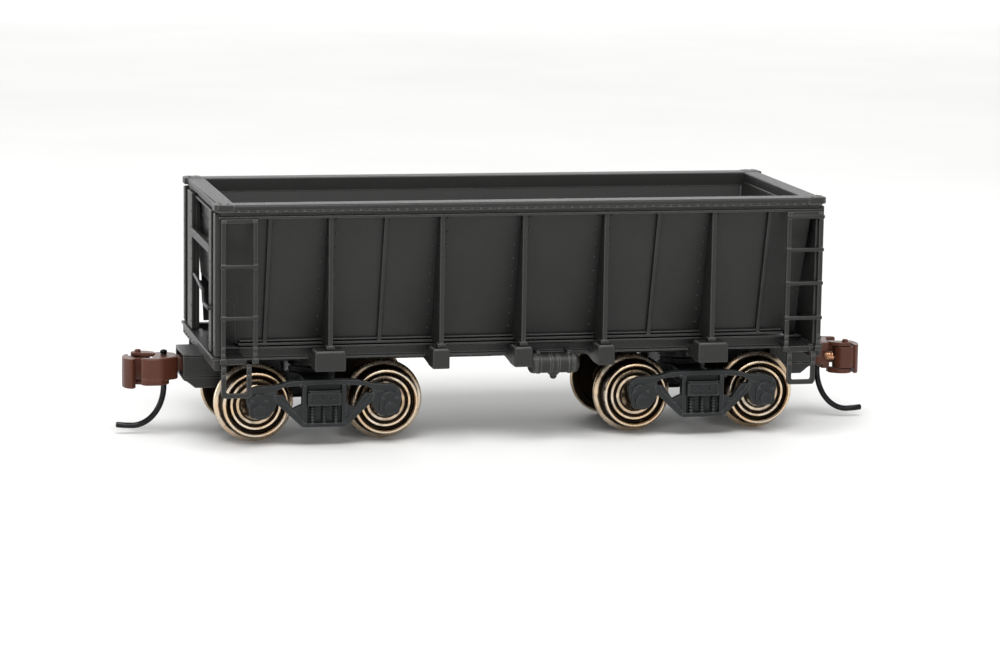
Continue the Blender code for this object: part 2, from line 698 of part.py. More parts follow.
def trip_pin():
    """A round wire down through the head that curves out close above the rail."""
    radius_x, radius_z, bend_z = 2.55, 3.3, 4.0
    points = [(TRIP_PIN_X, 0.0, 7.0), (TRIP_PIN_X, 0.0, bend_z)]
    for step in range(1, 9):
        angle = math.radians(90 * step / 8)
        points.append((TRIP_PIN_X + radius_x * (1 - math.cos(angle)), -0.06 * step,
                       bend_z - radius_z * math.sin(angle)))
    points.append((31.65, -0.5, 0.8))
    return wire(points, 0.24, 2)


def coil(start, end, radius, turns, thick):
    """A round coil spring between two points of a level line."""
    start, end = Vector(start), Vector(end)
    along = (end - start).normalized()
    across = along.cross(Vector((0, 0, 1)))
    steps = turns * COIL_STEPS
    points = []
    for step in range(steps + 1):
        angle = 2 * math.pi * step / COIL_STEPS
        place = start.lerp(end, step / steps)
        points.append(place + radius * (math.cos(angle) * across + math.sin(angle) * Vector((0, 0, 1))))
    return wire(points, thick, 0)


def draft_box_lid():
    """The plate that closes a draft box from below, deeper where its screw goes through."""
    outline = [(22.85, 4.7), (24.05, 4.2), (25.55, 4.2), (26.2, 4.72), (26.5, 4.85), (26.5, 5.07),
               (22.85, 5.07)]
    lid = plate(outline, -BOX_Y, BOX_Y, "XZ")
    hole = rod((COUPLER_X, 0, 3), (COUPLER_X, 0, 6), 0.36)
    seat = rod((COUPLER_X, 0, 3), (COUPLER_X, 0, 4.5), 0.95, 20)
    return cut(lid, hole, seat)


def lid_screw():
    head = rod((COUPLER_X, 0, 4.1), (COUPLER_X, 0, 4.45), 0.85, 20)
    shank = rod((COUPLER_X, 0, 4.3), (COUPLER_X, 0, 6.3), 0.3, 12)
    slot = block((COUPLER_X - 1, -0.1, 4.0), (COUPLER_X + 1, 0.1, 4.22))
    return cut(union(head, shank), slot)


# Assembly --------------------------------------------------------------------------------

def add_pivots(car):
    for name, end in ENDS.items():
        car.add_pivot("truck_" + name, (end * TRUCK_X, 0, 5.58))
        car.add_pivot("coupler_" + name, (end * COUPLER_X, 0, 5.9))
        px, py = KNUCKLE_PIVOT
        car.add_pivot("knuckle_" + name, (end * px, end * py, 5.5), "coupler_" + name)
    for name, (x, truck) in AXLE_PLACES.items():
        car.add_pivot("wheelset_" + name, (x, 0, AXLE_Z), "truck_" + truck)


def add_body(car):
    car.add(make_hopper_body(), "hopper_body", "car_body", "black_plastic")
    car.add(make_underframe(), "underframe", "car_body", "black_plastic")
    weight = block((-20.0, -5.6, DECK_Z + GAP), (20.0, 5.6, TUB_LOW_Z - GAP))
    car.add(weight, "steel_weight", "car_body", "steel")
    car.add(make_air_reservoir(), "air_reservoir", "car_body", "black_plastic")
    car.add(brake_wheel(), "brake_wheel", "car_body", "black_plastic")
    car.add(make_brake_cylinder(), "brake_cylinder", "car_body", "black_plastic")


def add_end(car, name, end):
    plain = {"end_grab_iron": end_grab_iron(), "draft_box_lid": draft_box_lid()}
    for part, obj in plain.items():
        car.add(turn_end(obj, end), f"{part}_{name}", "car_body", "black_plastic")
    rungs = RUNGS_FULL if end > 0 else RUNGS_SHORT
    for side, word in SIDES.items():
        ladder = to_corner(side_ladder(LADDER_X[name], rungs), end, side)
        car.add(ladder, f"side_ladder_{name}_{word}", "car_body", "black_plastic")
        car.add(to_corner(sill_step(), end, side), f"sill_step_{name}_{word}", "car_body", "black_plastic")
    car.add(turn_end(lid_screw(), end), "lid_screw_" + name, "car_body", "steel")
    spring = coil((COUPLER_X + 1.35, 1.5, 5.9), (COUPLER_X - 0.7, 1.5, 5.9), 0.3, 4, 0.07)
    car.add(turn_end(spring, end), "centring_spring_" + name, "car_body", "bronze_wire")
    coupler = "coupler_" + name
    car.add(turn_end(coupler_shank(), end), "coupler_shank_" + name, coupler, "coupler_plastic")
    car.add(turn_end(trip_pin(), end), "trip_pin_" + name, coupler, "dark_wire")
    spring = coil((27.9, -1.75, 5.5), (28.62, -1.75, 5.5), 0.3, 4, 0.07)
    car.add(turn_end(spring, end), "knuckle_spring_" + name, coupler, "bronze_wire")
    car.add(turn_end(knuckle(), end), "knuckle_" + name, "knuckle_" + name, "coupler_plastic")


def add_truck(car, name, end):
    car.add(shift(truck_frame(), x=end * TRUCK_X), "truck_frame_" + name, "truck_" + name, "truck_plastic")
    car.add(shift(truck_screw(), x=end * TRUCK_X), "truck_screw_" + name, "car_body", "steel")


def add_wheelsets(car):
    for name, (x, _) in AXLE_PLACES.items():
        body = "wheelset_" + name
        car.add(shift(axle(), x, 0, AXLE_Z), "axle_" + name, body, "wheel_metal")
        for side, word in SIDES.items():
            car.add(shift(wheel(side), x, 0, AXLE_Z), f"wheel_{name}_{word}", body, "wheel_metal")


def main():
    clear_scene()
    car = Car()
    add_pivots(car)
    add_body(car)
    for name, end in ENDS.items():
        add_end(car, name, end)
        add_truck(car, name, end)
    add_wheelsets(car)


main()
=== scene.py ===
"""Looks of the model hopper car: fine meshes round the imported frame, materials, floor, light, camera.

Lengths in the constants and helpers are millimetres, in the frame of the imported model: +X to the
B end, -Y the near side, +Z up, wheels standing on z = 0.
"""

import json
import math

import bmesh
import bpy
from mathutils import Matrix, Vector


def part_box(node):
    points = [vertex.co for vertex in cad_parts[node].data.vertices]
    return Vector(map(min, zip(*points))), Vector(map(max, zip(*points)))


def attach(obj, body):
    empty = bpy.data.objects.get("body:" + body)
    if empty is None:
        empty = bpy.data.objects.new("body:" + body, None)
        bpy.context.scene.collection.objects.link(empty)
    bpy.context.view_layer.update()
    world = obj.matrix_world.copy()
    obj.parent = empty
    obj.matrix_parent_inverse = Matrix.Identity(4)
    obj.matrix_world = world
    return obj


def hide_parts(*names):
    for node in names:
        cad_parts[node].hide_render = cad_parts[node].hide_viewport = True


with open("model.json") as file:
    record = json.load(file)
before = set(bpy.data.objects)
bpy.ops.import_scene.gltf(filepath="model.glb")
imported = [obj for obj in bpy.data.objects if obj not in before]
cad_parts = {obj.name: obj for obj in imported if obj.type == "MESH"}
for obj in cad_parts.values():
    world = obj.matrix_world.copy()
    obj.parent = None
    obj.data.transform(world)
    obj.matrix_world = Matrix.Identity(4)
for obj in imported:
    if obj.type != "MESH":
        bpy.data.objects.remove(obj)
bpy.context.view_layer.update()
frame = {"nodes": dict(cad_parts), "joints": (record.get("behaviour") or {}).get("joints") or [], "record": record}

MM = 0.001
NODES = frame["nodes"]
PIVOTS = {j["child"]: Vector(j["pos_m"]) / MM for j in frame["joints"]}
SLOT_OF = {part["node"]: part["material_slot"] for part in frame["record"]["subparts"]}


def node_box(name):
    """A CAD node's lowest and highest corners in millimetres."""
    low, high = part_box(name)
    return low / MM, high / MM


# Shading ---------------------------------------------------------------------------------


class Shader:
    """A material's node tree, with short ways to add and join nodes."""

    def __init__(self, name):
        self.material = bpy.data.materials.new(name)
        self.material.use_nodes = True
        self.tree = self.material.node_tree
        self.surface = self.tree.nodes["Principled BSDF"]
        place = self.add("ShaderNodeTexCoord")
        self.place = self.add("ShaderNodeVectorMath", operation="SCALE")
        self.tree.links.new(place.outputs["Object"], self.place.inputs[0])
        self.place.inputs["Scale"].default_value = 1 / MM

    def add(self, kind, **settings):
        node = self.tree.nodes.new(kind)
        for key, value in settings.items():
            setattr(node, key, value)
        return node

    def link(self, output, target):
        self.tree.links.new(output, target)

    def noise(self, scale, detail=3.0, roughness=0.55):
        """Noise with features about 1/scale millimetres across."""
        node = self.add("ShaderNodeTexNoise")
        self.link(self.place.outputs["Vector"], node.inputs["Vector"])
        node.inputs["Scale"].default_value = scale
        node.inputs["Detail"].default_value = detail
        node.inputs["Roughness"].default_value = roughness
        return node.outputs["Fac"]

    def spread(self, value, low, high, to_low=0.0, to_high=1.0):
        """Maps a value's range low..high to another range, with the ends held."""
        node = self.add("ShaderNodeMapRange")
        self.link(value, node.inputs["Value"])
        for key, number in (("From Min", low), ("From Max", high), ("To Min", to_low), ("To Max", to_high)):
            node.inputs[key].default_value = number
        return node.outputs["Result"]

    def math(self, operation, a, b):
        node = self.add("ShaderNodeMath", operation=operation)
        for socket, value in zip(node.inputs, (a, b)):
            if isinstance(value, (int, float)):
                socket.default_value = value
            else:
                self.link(value, socket)
        return node.outputs["Value"]

    def blend(self, factor, a, b):
        """A colour between a and b."""
        node = self.add("ShaderNodeMix", data_type="RGBA")
        self.link(factor, node.inputs["Factor"])
        sockets = [s for s in node.inputs if s.type == "RGBA"]
        for socket, value in zip(sockets, (a, b)):
            if isinstance(value, tuple):
                socket.default_value = (*value, 1.0)
            else:
                self.link(value, socket)
        return next(s for s in node.outputs if s.type == "RGBA")

    def bump(self, height, depth):
        """Bump whose full height is depth millimetres."""
        node = self.add("ShaderNodeBump")
        node.inputs["Strength"].default_value = 1.0
        node.inputs["Distance"].default_value = depth * MM
        self.link(height, node.inputs["Height"])
        return node.outputs["Normal"]

    def edges(self, radius):
        """1 along edges that stand out, within about radius millimetres of them, and 0 elsewhere."""
        round_edge = self.add("ShaderNodeBevel", samples=4)
        round_edge.inputs["Radius"].default_value = radius * MM
        true = self.add("ShaderNodeNewGeometry")
        along = self.add("ShaderNodeVectorMath", operation="DOT_PRODUCT")
        self.link(round_edge.outputs["Normal"], along.inputs[0])
        self.link(true.outputs["Normal"], along.inputs[1])
        return self.spread(along.outputs["Value"], 0.995, 0.86)

    def crevices(self, reach):
        """1 in the open and 0 deep in corners narrower than reach millimetres."""
        shade = self.add("ShaderNodeAmbientOcclusion", samples=4)
        shade.inputs["Distance"].default_value = reach * MM
        return shade.outputs["AO"]


def moulded_plastic(name, colour, edge, shade, roughness, gloss):
    """Moulded plastic: mottled, finely grained, with a painted highlight along its edges and painted shade in its
    corners.
    """
    s = Shader(name)
    broad = s.spread(s.noise(0.35, 3), 0.35, 0.65)
    fine = s.spread(s.noise(6.0, 4), 0.3, 0.7)
    tone = s.math("ADD", s.math("MULTIPLY", broad, 0.5), s.math("MULTIPLY", fine, 0.5))
    lighter = tuple(1.35 * c for c in colour)
    mottled = s.blend(tone, colour, lighter)
    # Painted highlight: the colour is lightened towards the edge colour along edges, where rounded edges catch the
    # light.
    edge_highlight = s.math("MULTIPLY", s.edges(0.11), s.spread(fine, 0.1, 0.9, 0.5, 1.0))
    highlighted = s.blend(edge_highlight, mottled, edge)
    # Painted shade: the colour goes to the dark shade colour in corners and crevices narrower than about a
    # millimetre.
    open_air = s.spread(s.crevices(1.0), 0.2, 0.75)
    s.link(s.blend(open_air, shade, highlighted), s.surface.inputs["Base Color"])
    s.link(s.spread(fine, 0, 1, roughness - 0.05, roughness + 0.08), s.surface.inputs["Roughness"])
    s.link(s.bump(s.noise(11.0, 5, 0.6), 0.014), s.surface.inputs["Normal"])
    s.surface.inputs["Specular IOR Level"].default_value = gloss
    return s.material


def plain_metal(name, colour, dark, roughness):
    """Metal with faint mottling and a fine grain."""
    s = Shader(name)
    mottle = s.spread(s.noise(3.0, 4), 0.35, 0.7)
    s.link(s.blend(mottle, colour, dark), s.surface.inputs["Base Color"])
    rough = s.spread(s.noise(10.0, 3), 0.3, 0.7, roughness - 0.06, roughness + 0.1)
    s.link(rough, s.surface.inputs["Roughness"])
    s.surface.inputs["Metallic"].default_value = 1.0
    s.link(s.bump(s.noise(20.0, 3), 0.004), s.surface.inputs["Normal"])
    return s.material


def blackened_metal(name, bright, black):
    """Turned metal, blackened in its grooves and polished bright where its attribute is 1; where the attribute is
    below 0 the metal is painted black as shade.
    """
    s = Shader(name)
    polish_and_shade = s.add("ShaderNodeAttribute", attribute_name="polish_and_shade").outputs["Fac"]
    smudge = s.spread(s.noise(1.6, 4, 0.6), 0.3, 0.72, -0.28, 0.22)
    # The attribute, with a smudge, blends from black, which also paints shade on the tread and back faces, to
    # polished bright metal.
    polish_and_shade_mix = s.spread(s.math("ADD", polish_and_shade, smudge), 0.15, 0.85)
    warmer = tuple(c * t for c, t in zip(bright, (1, 0.86, 0.7)))
    bright_tone = s.blend(s.spread(s.noise(0.5, 2), 0.4, 0.6), bright, warmer)
    s.link(s.blend(polish_and_shade_mix, black, bright_tone), s.surface.inputs["Base Color"])
    grain = s.spread(s.noise(9.0, 3), 0.3, 0.7, -0.04, 0.06)
    rough = s.math("ADD", s.spread(polish_and_shade_mix, 0, 1, 0.42, 0.24), grain)
    s.link(rough, s.surface.inputs["Roughness"])
    s.surface.inputs["Metallic"].default_value = 1.0
    s.link(s.bump(s.noise(16.0, 3), 0.005), s.surface.inputs["Normal"])
    return s.material


# For each plastic: its own colour, then the colour of the painted edge highlight, then the colour of the painted
# shade in corners.
MATERIALS = {
    "black_plastic": moulded_plastic("black_plastic", (0.011, 0.011, 0.0104), (0.15, 0.152, 0.145),
                                     (0.003, 0.003, 0.003), 0.42, 0.36),
    "truck_plastic": moulded_plastic("truck_plastic", (0.009, 0.0102, 0.0108), (0.085, 0.09, 0.093),
                                     (0.002, 0.002, 0.002), 0.46, 0.32),
    "coupler_plastic": moulded_plastic("coupler_plastic", (0.062, 0.0185, 0.0095), (0.24, 0.1, 0.062),
                                       (0.012, 0.003, 0.002), 0.38, 0.3),
    "wheel_metal": blackened_metal("wheel_metal", (0.72, 0.62, 0.5), (0.022, 0.015, 0.01)),
    "dark_wire": plain_metal("dark_wire", (0.03, 0.03, 0.032), (0.015, 0.015, 0.015), 0.2),
    "bronze_wire": plain_metal("bronze_wire", (0.85, 0.5, 0.3), (0.6, 0.32, 0.18), 0.22),
    "steel": plain_metal("steel", (0.3, 0.29, 0.28), (0.2, 0.19, 0.18), 0.38),
}


# Mesh building ---------------------------------------------------------------------------

SHARP = math.radians(32)


def rect(half, z):
    """The corners of a level rectangle round the Z axis, from its half sizes."""
    x, y = half
    return [(-x, -y, z), (x, -y, z), (x, y, z), (-x, y, z)]


def span(a, b, sign):
    """The ordered pair a, b on one side of zero."""
    return (a, b) if sign > 0 else (-b, -a)


def rounded(outline, radius, steps=4):
    """An outline with its corners replaced by short curves."""
    result = []
    count = len(outline)
    for i in range(count):
        before, here, after = (Vector(outline[(i + k) % count]) for k in (-1, 0, 1))
        reach = min(radius, (before - here).length * 0.48, (after - here).length * 0.48)
        start = here + (before - here).normalized() * reach
        end = here + (after - here).normalized() * reach
        for step in range(steps + 1):
            t = step / steps
            result.append(tuple(start * (1 - t) ** 2 + here * 2 * t * (1 - t) + end * t ** 2))
    return result


def smooth_path(points, steps=6):
    """Points along a smooth curve through the given points."""
    points = [Vector(p) for p in points]
    ends = [2 * points[0] - points[1]] + points + [2 * points[-1] - points[-2]]
    path = []
    for a, b, c, d in zip(ends, ends[1:], ends[2:], ends[3:]):
        for step in range(steps):
            t = step / steps
            path.append(0.5 * (2 * b + (c - a) * t + (2 * a - 5 * b + 4 * c - d) * t ** 2
                               + (3 * b - a - 3 * c + d) * t ** 3))
    return path + [points[-1]]


class Piece:
    """A visible mesh, gathered from closed solids given in millimetres."""

    def __init__(self, name, place=None):
        self.name = name
        self.place = place or Matrix.Identity(4)
        self.bm = bmesh.new()

    def keep(self, part, bevel=0.0, segments=2):
        """Rounds a solid's sharp edges and adds it to the piece."""
        bmesh.ops.recalc_face_normals(part, faces=part.faces)
        if bevel:
            sharp = [e for e in part.edges if e.is_manifold and e.calc_face_angle() > SHARP]
            bmesh.ops.bevel(part, geom=sharp, offset=bevel, segments=segments, profile=0.5,
                            affect="EDGES", clamp_overlap=True)
        bmesh.ops.transform(part, matrix=self.place, verts=part.verts)
        bmesh.ops.recalc_face_normals(part, faces=part.faces)
        mesh = bpy.data.meshes.new("part")
        part.to_mesh(mesh)
        part.free()
        self.bm.from_mesh(mesh)
        bpy.data.meshes.remove(mesh)

    def loft(self, loops, closed=False, bevel=0.0, segments=2):
        """Skins a row of loops that have equal numbers of points, with both ends capped unless closed."""
        part = bmesh.new()
        rows = [[part.verts.new(p) for p in loop] for loop in loops]
        for low, high in zip(rows, rows[1:] + rows[:1] if closed else rows[1:]):
            for i, j in zip(range(len(low)), [*range(1, len(low)), 0]):
                part.faces.new((low[i], low[j], high[j], high[i]))
        if not closed:
            part.faces.new(rows[0])
            part.faces.new(rows[-1])
        self.keep(part, bevel, segments)

    def box(self, low, high, bevel=0.05, segments=2):
        (x0, y0, z0), (x1, y1, z1) = low, high
        loops = [[(x0, y0, z), (x1, y0, z), (x1, y1, z), (x0, y1, z)] for z in (z0, z1)]
        self.loft(loops, bevel=bevel, segments=segments)

    def prism(self, outline, low, high, plane, bevel=0.05, segments=2):
        """A flat outline made thick from low to high along the axis that is not in its plane."""
        where = {"XY": lambda a, b, h: (a, b, h), "XZ": lambda a, b, h: (a, h, b),
                 "YZ": lambda a, b, h: (h, a, b)}
        loops = [[where[plane](a, b, h) for a, b in outline] for h in (low, high)]
        self.loft(loops, bevel=bevel, segments=segments)

    def lathe(self, profile, centre, axis, segments=48, closed=False, bevel=0.0):
        """A turned solid from (radius, height) points along an axis through a centre."""
        turn = Vector(axis).to_track_quat("Z", "Y").to_matrix()
        angles = [2 * math.pi * step / segments for step in range(segments)]
        loops = [[Vector(centre) + turn @ Vector((r * math.cos(a), r * math.sin(a), h)) for a in angles]
                 for r, h in profile]
        self.loft(loops, closed=closed, bevel=bevel)

    def rod(self, start, end, radius):
        start, end = Vector(start), Vector(end)
        self.lathe([(radius, 0), (radius, (end - start).length)], start, end - start, 24, bevel=0.04)

    def rivet(self, place, direction, radius=0.11):
        """A domed head, sunk a little into the surface that it sits on."""
        profile = [(radius, -0.04), (radius, radius * 0.25), (radius * 0.8, radius * 0.6),
                   (radius * 0.4, radius * 0.78), (radius * 0.05, radius * 0.8)]
        self.lathe(profile, place, direction, 12)

    def tube(self, points, radius, segments=14):
        """A round wire through points, with rounded ends."""
        points = [Vector(p) for p in points]
        last = len(points) - 1
        side = (points[1] - points[0]).orthogonal().normalized()
        loops = []
        for i, point in enumerate(points):
            ahead = (points[min(i + 1, last)] - points[max(i - 1, 0)]).normalized()
            side = (side - side.dot(ahead) * ahead).normalized()
            up = ahead.cross(side)
            angles = [2 * math.pi * step / segments for step in range(segments)]
            loops.append([point + radius * (math.cos(a) * side + math.sin(a) * up) for a in angles])
        self.loft(loops, bevel=radius * 0.4)

    def finish(self, body, slot, *nodes):
        """Makes the object, which rides on a body and stands for the given CAD nodes."""
        mesh = bpy.data.meshes.new(self.name)
        bmesh.ops.scale(self.bm, vec=(MM, MM, MM), verts=self.bm.verts)
        self.bm.to_mesh(mesh)
        self.bm.free()
        mesh.shade_smooth()
        mesh.set_sharp_from_angle(angle=math.radians(40))
        obj = bpy.data.objects.new(self.name, mesh)
        bpy.context.scene.collection.objects.link(obj)
        mesh.materials.append(MATERIALS[slot])
        normals = obj.modifiers.new("normals", "WEIGHTED_NORMAL")
        normals.keep_sharp = True
        normals.weight = 70
        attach(obj, body)
        if nodes:
            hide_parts(*nodes)
        return obj


ENDS = {"b": 1, "a": -1}
SIDES = {"near": -1, "far": 1}


def end_place(end):
    """Places a piece made at the +X end: the -X end's is turned half round."""
    return Matrix.Rotation(0 if end > 0 else math.pi, 4, "Z")


def corner_place(end, side):
    """Places a piece made at the +X, -Y corner by mirroring it."""
    return Matrix.Diagonal((end, -side, 1, 1))


# Hopper body -----------------------------------------------------------------------------

TUB_LOW_Z, TUB_TOP_Z = 8.25, 19.4
TUB_LOW_Y, TUB_TOP_Y = 6.0, 9.0
END_WALL = ((22.76, 8.25), (23.0, 11.6), (23.84, 12.15), (24.2, 19.4))     # outer face, as (x, z)
WING = ((22.6, 8.4), (23.75, 8.4), (23.8, 12.4), (22.8, 12.4))    # side sheets' ends past the tuck, as (x, z)
WALL = 0.7
FLOOR = (12.5, 9.2)              # half length and height of the load floor
KNEE = (22.5, 14.0)              # where the end slopes start
MOUTH = (23.3, 8.1)
POST_Y = 9.55
MAIN_POSTS_X = (-15.7, -6.72, 0.0, 6.72, 15.7)
LOW_RIBS_X = (-20.5, -11.2, 11.2, 20.5)
CORNER_X, CORNER_Y = 24.95, 9.5
WEB_X = (24.3, 24.6)
CORNER_BAR_Y = 8.58
WIDE_STRIP_Y, NARROW_STRIP_Y = (4.25, 6.85), (6.0, 7.24)
CROSSBAR_Z = (15.65, 16.35)
FRAME_LOW_Z = 7.92


def tub_y(z):
    """Half width of the side sheets' outer face at a height."""
    return TUB_LOW_Y + (z - TUB_LOW_Z) / (TUB_TOP_Z - TUB_LOW_Z) * (TUB_TOP_Y - TUB_LOW_Y)


def tub_x(z):
    """Where the upright part of an end wall has its outer face, at a height."""
    (low_x, low_z), (top_x, top_z) = END_WALL[-2:]
    return low_x + (z - low_z) / (top_z - low_z) * (top_x - low_x)


def make_tub():
    """The sheets of the load space in one skin, with the ridge between its two hoppers."""
    piece = Piece("hopper_tub")
    top_z = 19.2
    inner = [((MOUTH[0] - 0.05, tub_y(top_z) - WALL), top_z), ((KNEE[0], tub_y(KNEE[1]) - WALL), KNEE[1]),
             ((FLOOR[0], TUB_LOW_Y - WALL), FLOOR[1])]
    outer = [((x, tub_y(z)), z) for x, z in END_WALL[:-1]] + [((tub_x(top_z), tub_y(top_z)), top_z)]
    piece.loft([rect(half, z) for half, z in outer + inner], bevel=0.12, segments=3)
    ridge_z = 12.4
    ridge = [rect((4.3, TUB_LOW_Y - 0.3), FLOOR[1] - 0.2), rect((0.25, tub_y(ridge_z) - 0.3), ridge_z)]
    piece.loft(ridge, bevel=0.12, segments=3)
    for sign in (-1, 1):
        for slope in (0.25, 0.55, 0.8):
            x = sign * (FLOOR[0] + slope * (KNEE[0] - FLOOR[0]))
            z = FLOOR[1] + slope * (KNEE[1] - FLOOR[1])
            half = tub_y(z) - WALL
            for step in range(9):
                piece.rivet((x, half * (step - 4) / 4.3, z), (-sign * 0.43, 0, 0.9), 0.1)
    for end in (-1, 1):
        for side in (-1, 1):
            wing = [(end * x, z) for x, z in WING]
            loops = [[(x, side * (tub_y(z) - depth), z) for x, z in wing] for depth in (0.02, 0.42)]
            piece.loft(loops, bevel=0.05)
    return piece.finish("car_body", "black_plastic", "hopper_body")


def make_top_chord():
    """The rim: a rounded angle with a recess and a ledge under it, and a cap at each corner."""
    piece = Piece("top_chord")
    top = 19.965
    profile = [(24.3, 9.4, 18.84), (24.62, 9.68, 18.84), (24.66, 9.72, 18.9), (24.66, 9.72, 19.02),
               (24.6, 9.66, 19.08), (24.46, 9.55, 19.1), (24.46, 9.55, 19.3), (24.6, 9.78, 19.34),
               (24.66, 9.84, 19.38), (24.66, 9.84, 19.58), (24.72, 9.9, 19.62), (24.78, 9.94, 19.7),
               (24.78, 9.95, 19.8), (24.74, 9.92, 19.89), (24.66, 9.84, 19.95), (24.54, 9.72, top),
               (23.42, 8.22, top), (23.34, 8.14, 19.93), (*MOUTH, 19.84), (*MOUTH, 18.84)]
    piece.loft([rect((x, y), z) for x, y, z in profile], closed=True)
    for end in (-1, 1):
        for side in (-1, 1):
            outline = [(23.5, 8.35), (25.0, 8.35), (25.0, 9.7), (24.75, 9.95), (23.5, 9.95)]
            outline = [(end * x, side * y) for x, y in outline]
            piece.prism(outline, 19.46, 20.0, "XY", bevel=0.07)
            for x, y in ((24.5, 9.5), (24.5, 8.8), (23.9, 9.5)):
                piece.rivet((end * x, side * y, 19.99), (0, 0, 1), 0.09)
    for side in (-1, 1):
        for step in range(-31, 32):
            piece.rivet((step * 0.745, side * 9.85, 19.46), (0, side, 0), 0.055)
    return piece.finish("car_body", "black_plastic", "hopper_body")


def web_outline(side, outer_low, outer_top):
    """The side view of an upright web on a side sheet."""
    low, high, root = TUB_LOW_Z + 0.05, TUB_TOP_Z - 0.2, 0.3
    return [(side * outer_low, low), (side * outer_top, high),
            (side * (tub_y(high) - root), high), (side * (tub_y(low) - root), low)]


def make_side_posts():
    """Main posts with their feet, low ribs, and the ledge along the foot of each side sheet."""
    piece = Piece("side_posts")
    for side in (-1, 1):
        for x in MAIN_POSTS_X:
            piece.prism(web_outline(side, POST_Y, POST_Y), x - 0.2, x + 0.2, "YZ", bevel=0.08, segments=3)
            foot = span(POST_Y - 0.7, POST_Y + 0.06, side)
            piece.box((x - 0.33, foot[0], TUB_LOW_Z), (x + 0.33, foot[1], TUB_LOW_Z + 0.32), 0.07)
            for z in [9.4 + 1.15 * step for step in range(9)]:
                y = side * (tub_y(z) + 0.01)
                for sign in (-1, 1):
                    piece.rivet((x + sign * 0.55, y, z), (0, side, -0.27), 0.075)
        for x in LOW_RIBS_X:
            outline = web_outline(side, TUB_LOW_Y + 0.4, TUB_TOP_Y + 0.35)
            piece.prism(outline, x - 0.17, x + 0.17, "YZ", bevel=0.08, segments=3)
        y = span(5.7, TUB_LOW_Y + 0.5, side)
        piece.box((-22.6, y[0], TUB_LOW_Z), (22.6, y[1], TUB_LOW_Z + 0.2), 0.06)
        ledge = [(side * (tub_y(8.62) - 0.2), 8.56), (side * (tub_y(8.62) + 0.24), 8.56),
                 (side * (tub_y(8.62) + 0.24), 8.66), (side * (tub_y(8.8) - 0.2), 8.8)]
        piece.prism(ledge, -22.5, 22.5, "YZ", bevel=0.03)
    return piece.finish("car_body", "black_plastic", "hopper_body")


def make_end_frames():
    """Each end's corner bars, strips and crossbar in front of the end wall, with their rivets."""
    piece = Piece("end_frames")
    for end in (-1, 1):
        web = span(*WEB_X, end)
        strip = span(WEB_X[1] - 0.05, CORNER_X, end)
        bar = span(WEB_X[0] - 0.05, CORNER_X, end)
        for side, strip_y in ((-end, WIDE_STRIP_Y), (end, NARROW_STRIP_Y)):
            y = span(strip_y[0] + 0.04, CORNER_Y - 0.04, side)
            piece.box((web[0], y[0], FRAME_LOW_Z), (web[1], y[1], TUB_TOP_Z - 0.1), 0.03)
            y = span(*strip_y, side)
            piece.box((strip[0], y[0], FRAME_LOW_Z), (strip[1], y[1], TUB_TOP_Z - 0.15), 0.07, 3)
            y = span(CORNER_BAR_Y, CORNER_Y, side)
            piece.box((bar[0], y[0], FRAME_LOW_Z), (bar[1], y[1], TUB_TOP_Z - 0.15), 0.09, 3)
            for z in [8.6 + 1.3 * step for step in range(8)]:
                piece.rivet((end * CORNER_X, side * (strip_y[0] + 0.3), z), (end, 0, 0), 0.08)
                piece.rivet((end * CORNER_X, side * (CORNER_BAR_Y + 0.25), z), (end, 0, 0), 0.08)
        y = span(-WIDE_STRIP_Y[0] - 0.2, NARROW_STRIP_Y[0] + 0.2, end)
        crossbar = span(WEB_X[1] - 0.03, CORNER_X + 0.02, end)
        piece.box((crossbar[0], y[0], CROSSBAR_Z[0]), (crossbar[1], y[1], CROSSBAR_Z[1]), 0.08, 3)
        for z in (12.6, 17.6):
            for step in range(-3, 4):
                piece.rivet((end * (tub_x(z) + 0.01), step * 1.1, z), (end, 0, 0.1), 0.09)
    return piece.finish("car_body", "black_plastic", "hopper_body")


# Underframe ------------------------------------------------------------------------------

SILL_Z = (7.1, 8.15)
SILL_Y = (5.85, 6.6)
BEARER_Y, BEARER_LOW_Z = 9.9, 6.58
DECK_Z = 7.5
END_SILL_Y = 9.4
BOX_X, BOX_Y = (22.8, 26.5), 2.5
CENTRE_SILL_Y = 1.6
DRAFT_SILL_X = 18.4              # where the centre sill gets deeper, beyond the truck's swivel
TRUCK_X = PIVOTS["truck_b"].x
COUPLER_X = PIVOTS["coupler_b"].x
BOLSTER_HALF = 1.25
BEARERS = ((-0.8, 0.7), (6.1, 7.5), (-7.5, -6.1), (TRUCK_X - BOLSTER_HALF, TRUCK_X + BOLSTER_HALF),
           (-TRUCK_X - BOLSTER_HALF, BOLSTER_HALF - TRUCK_X))


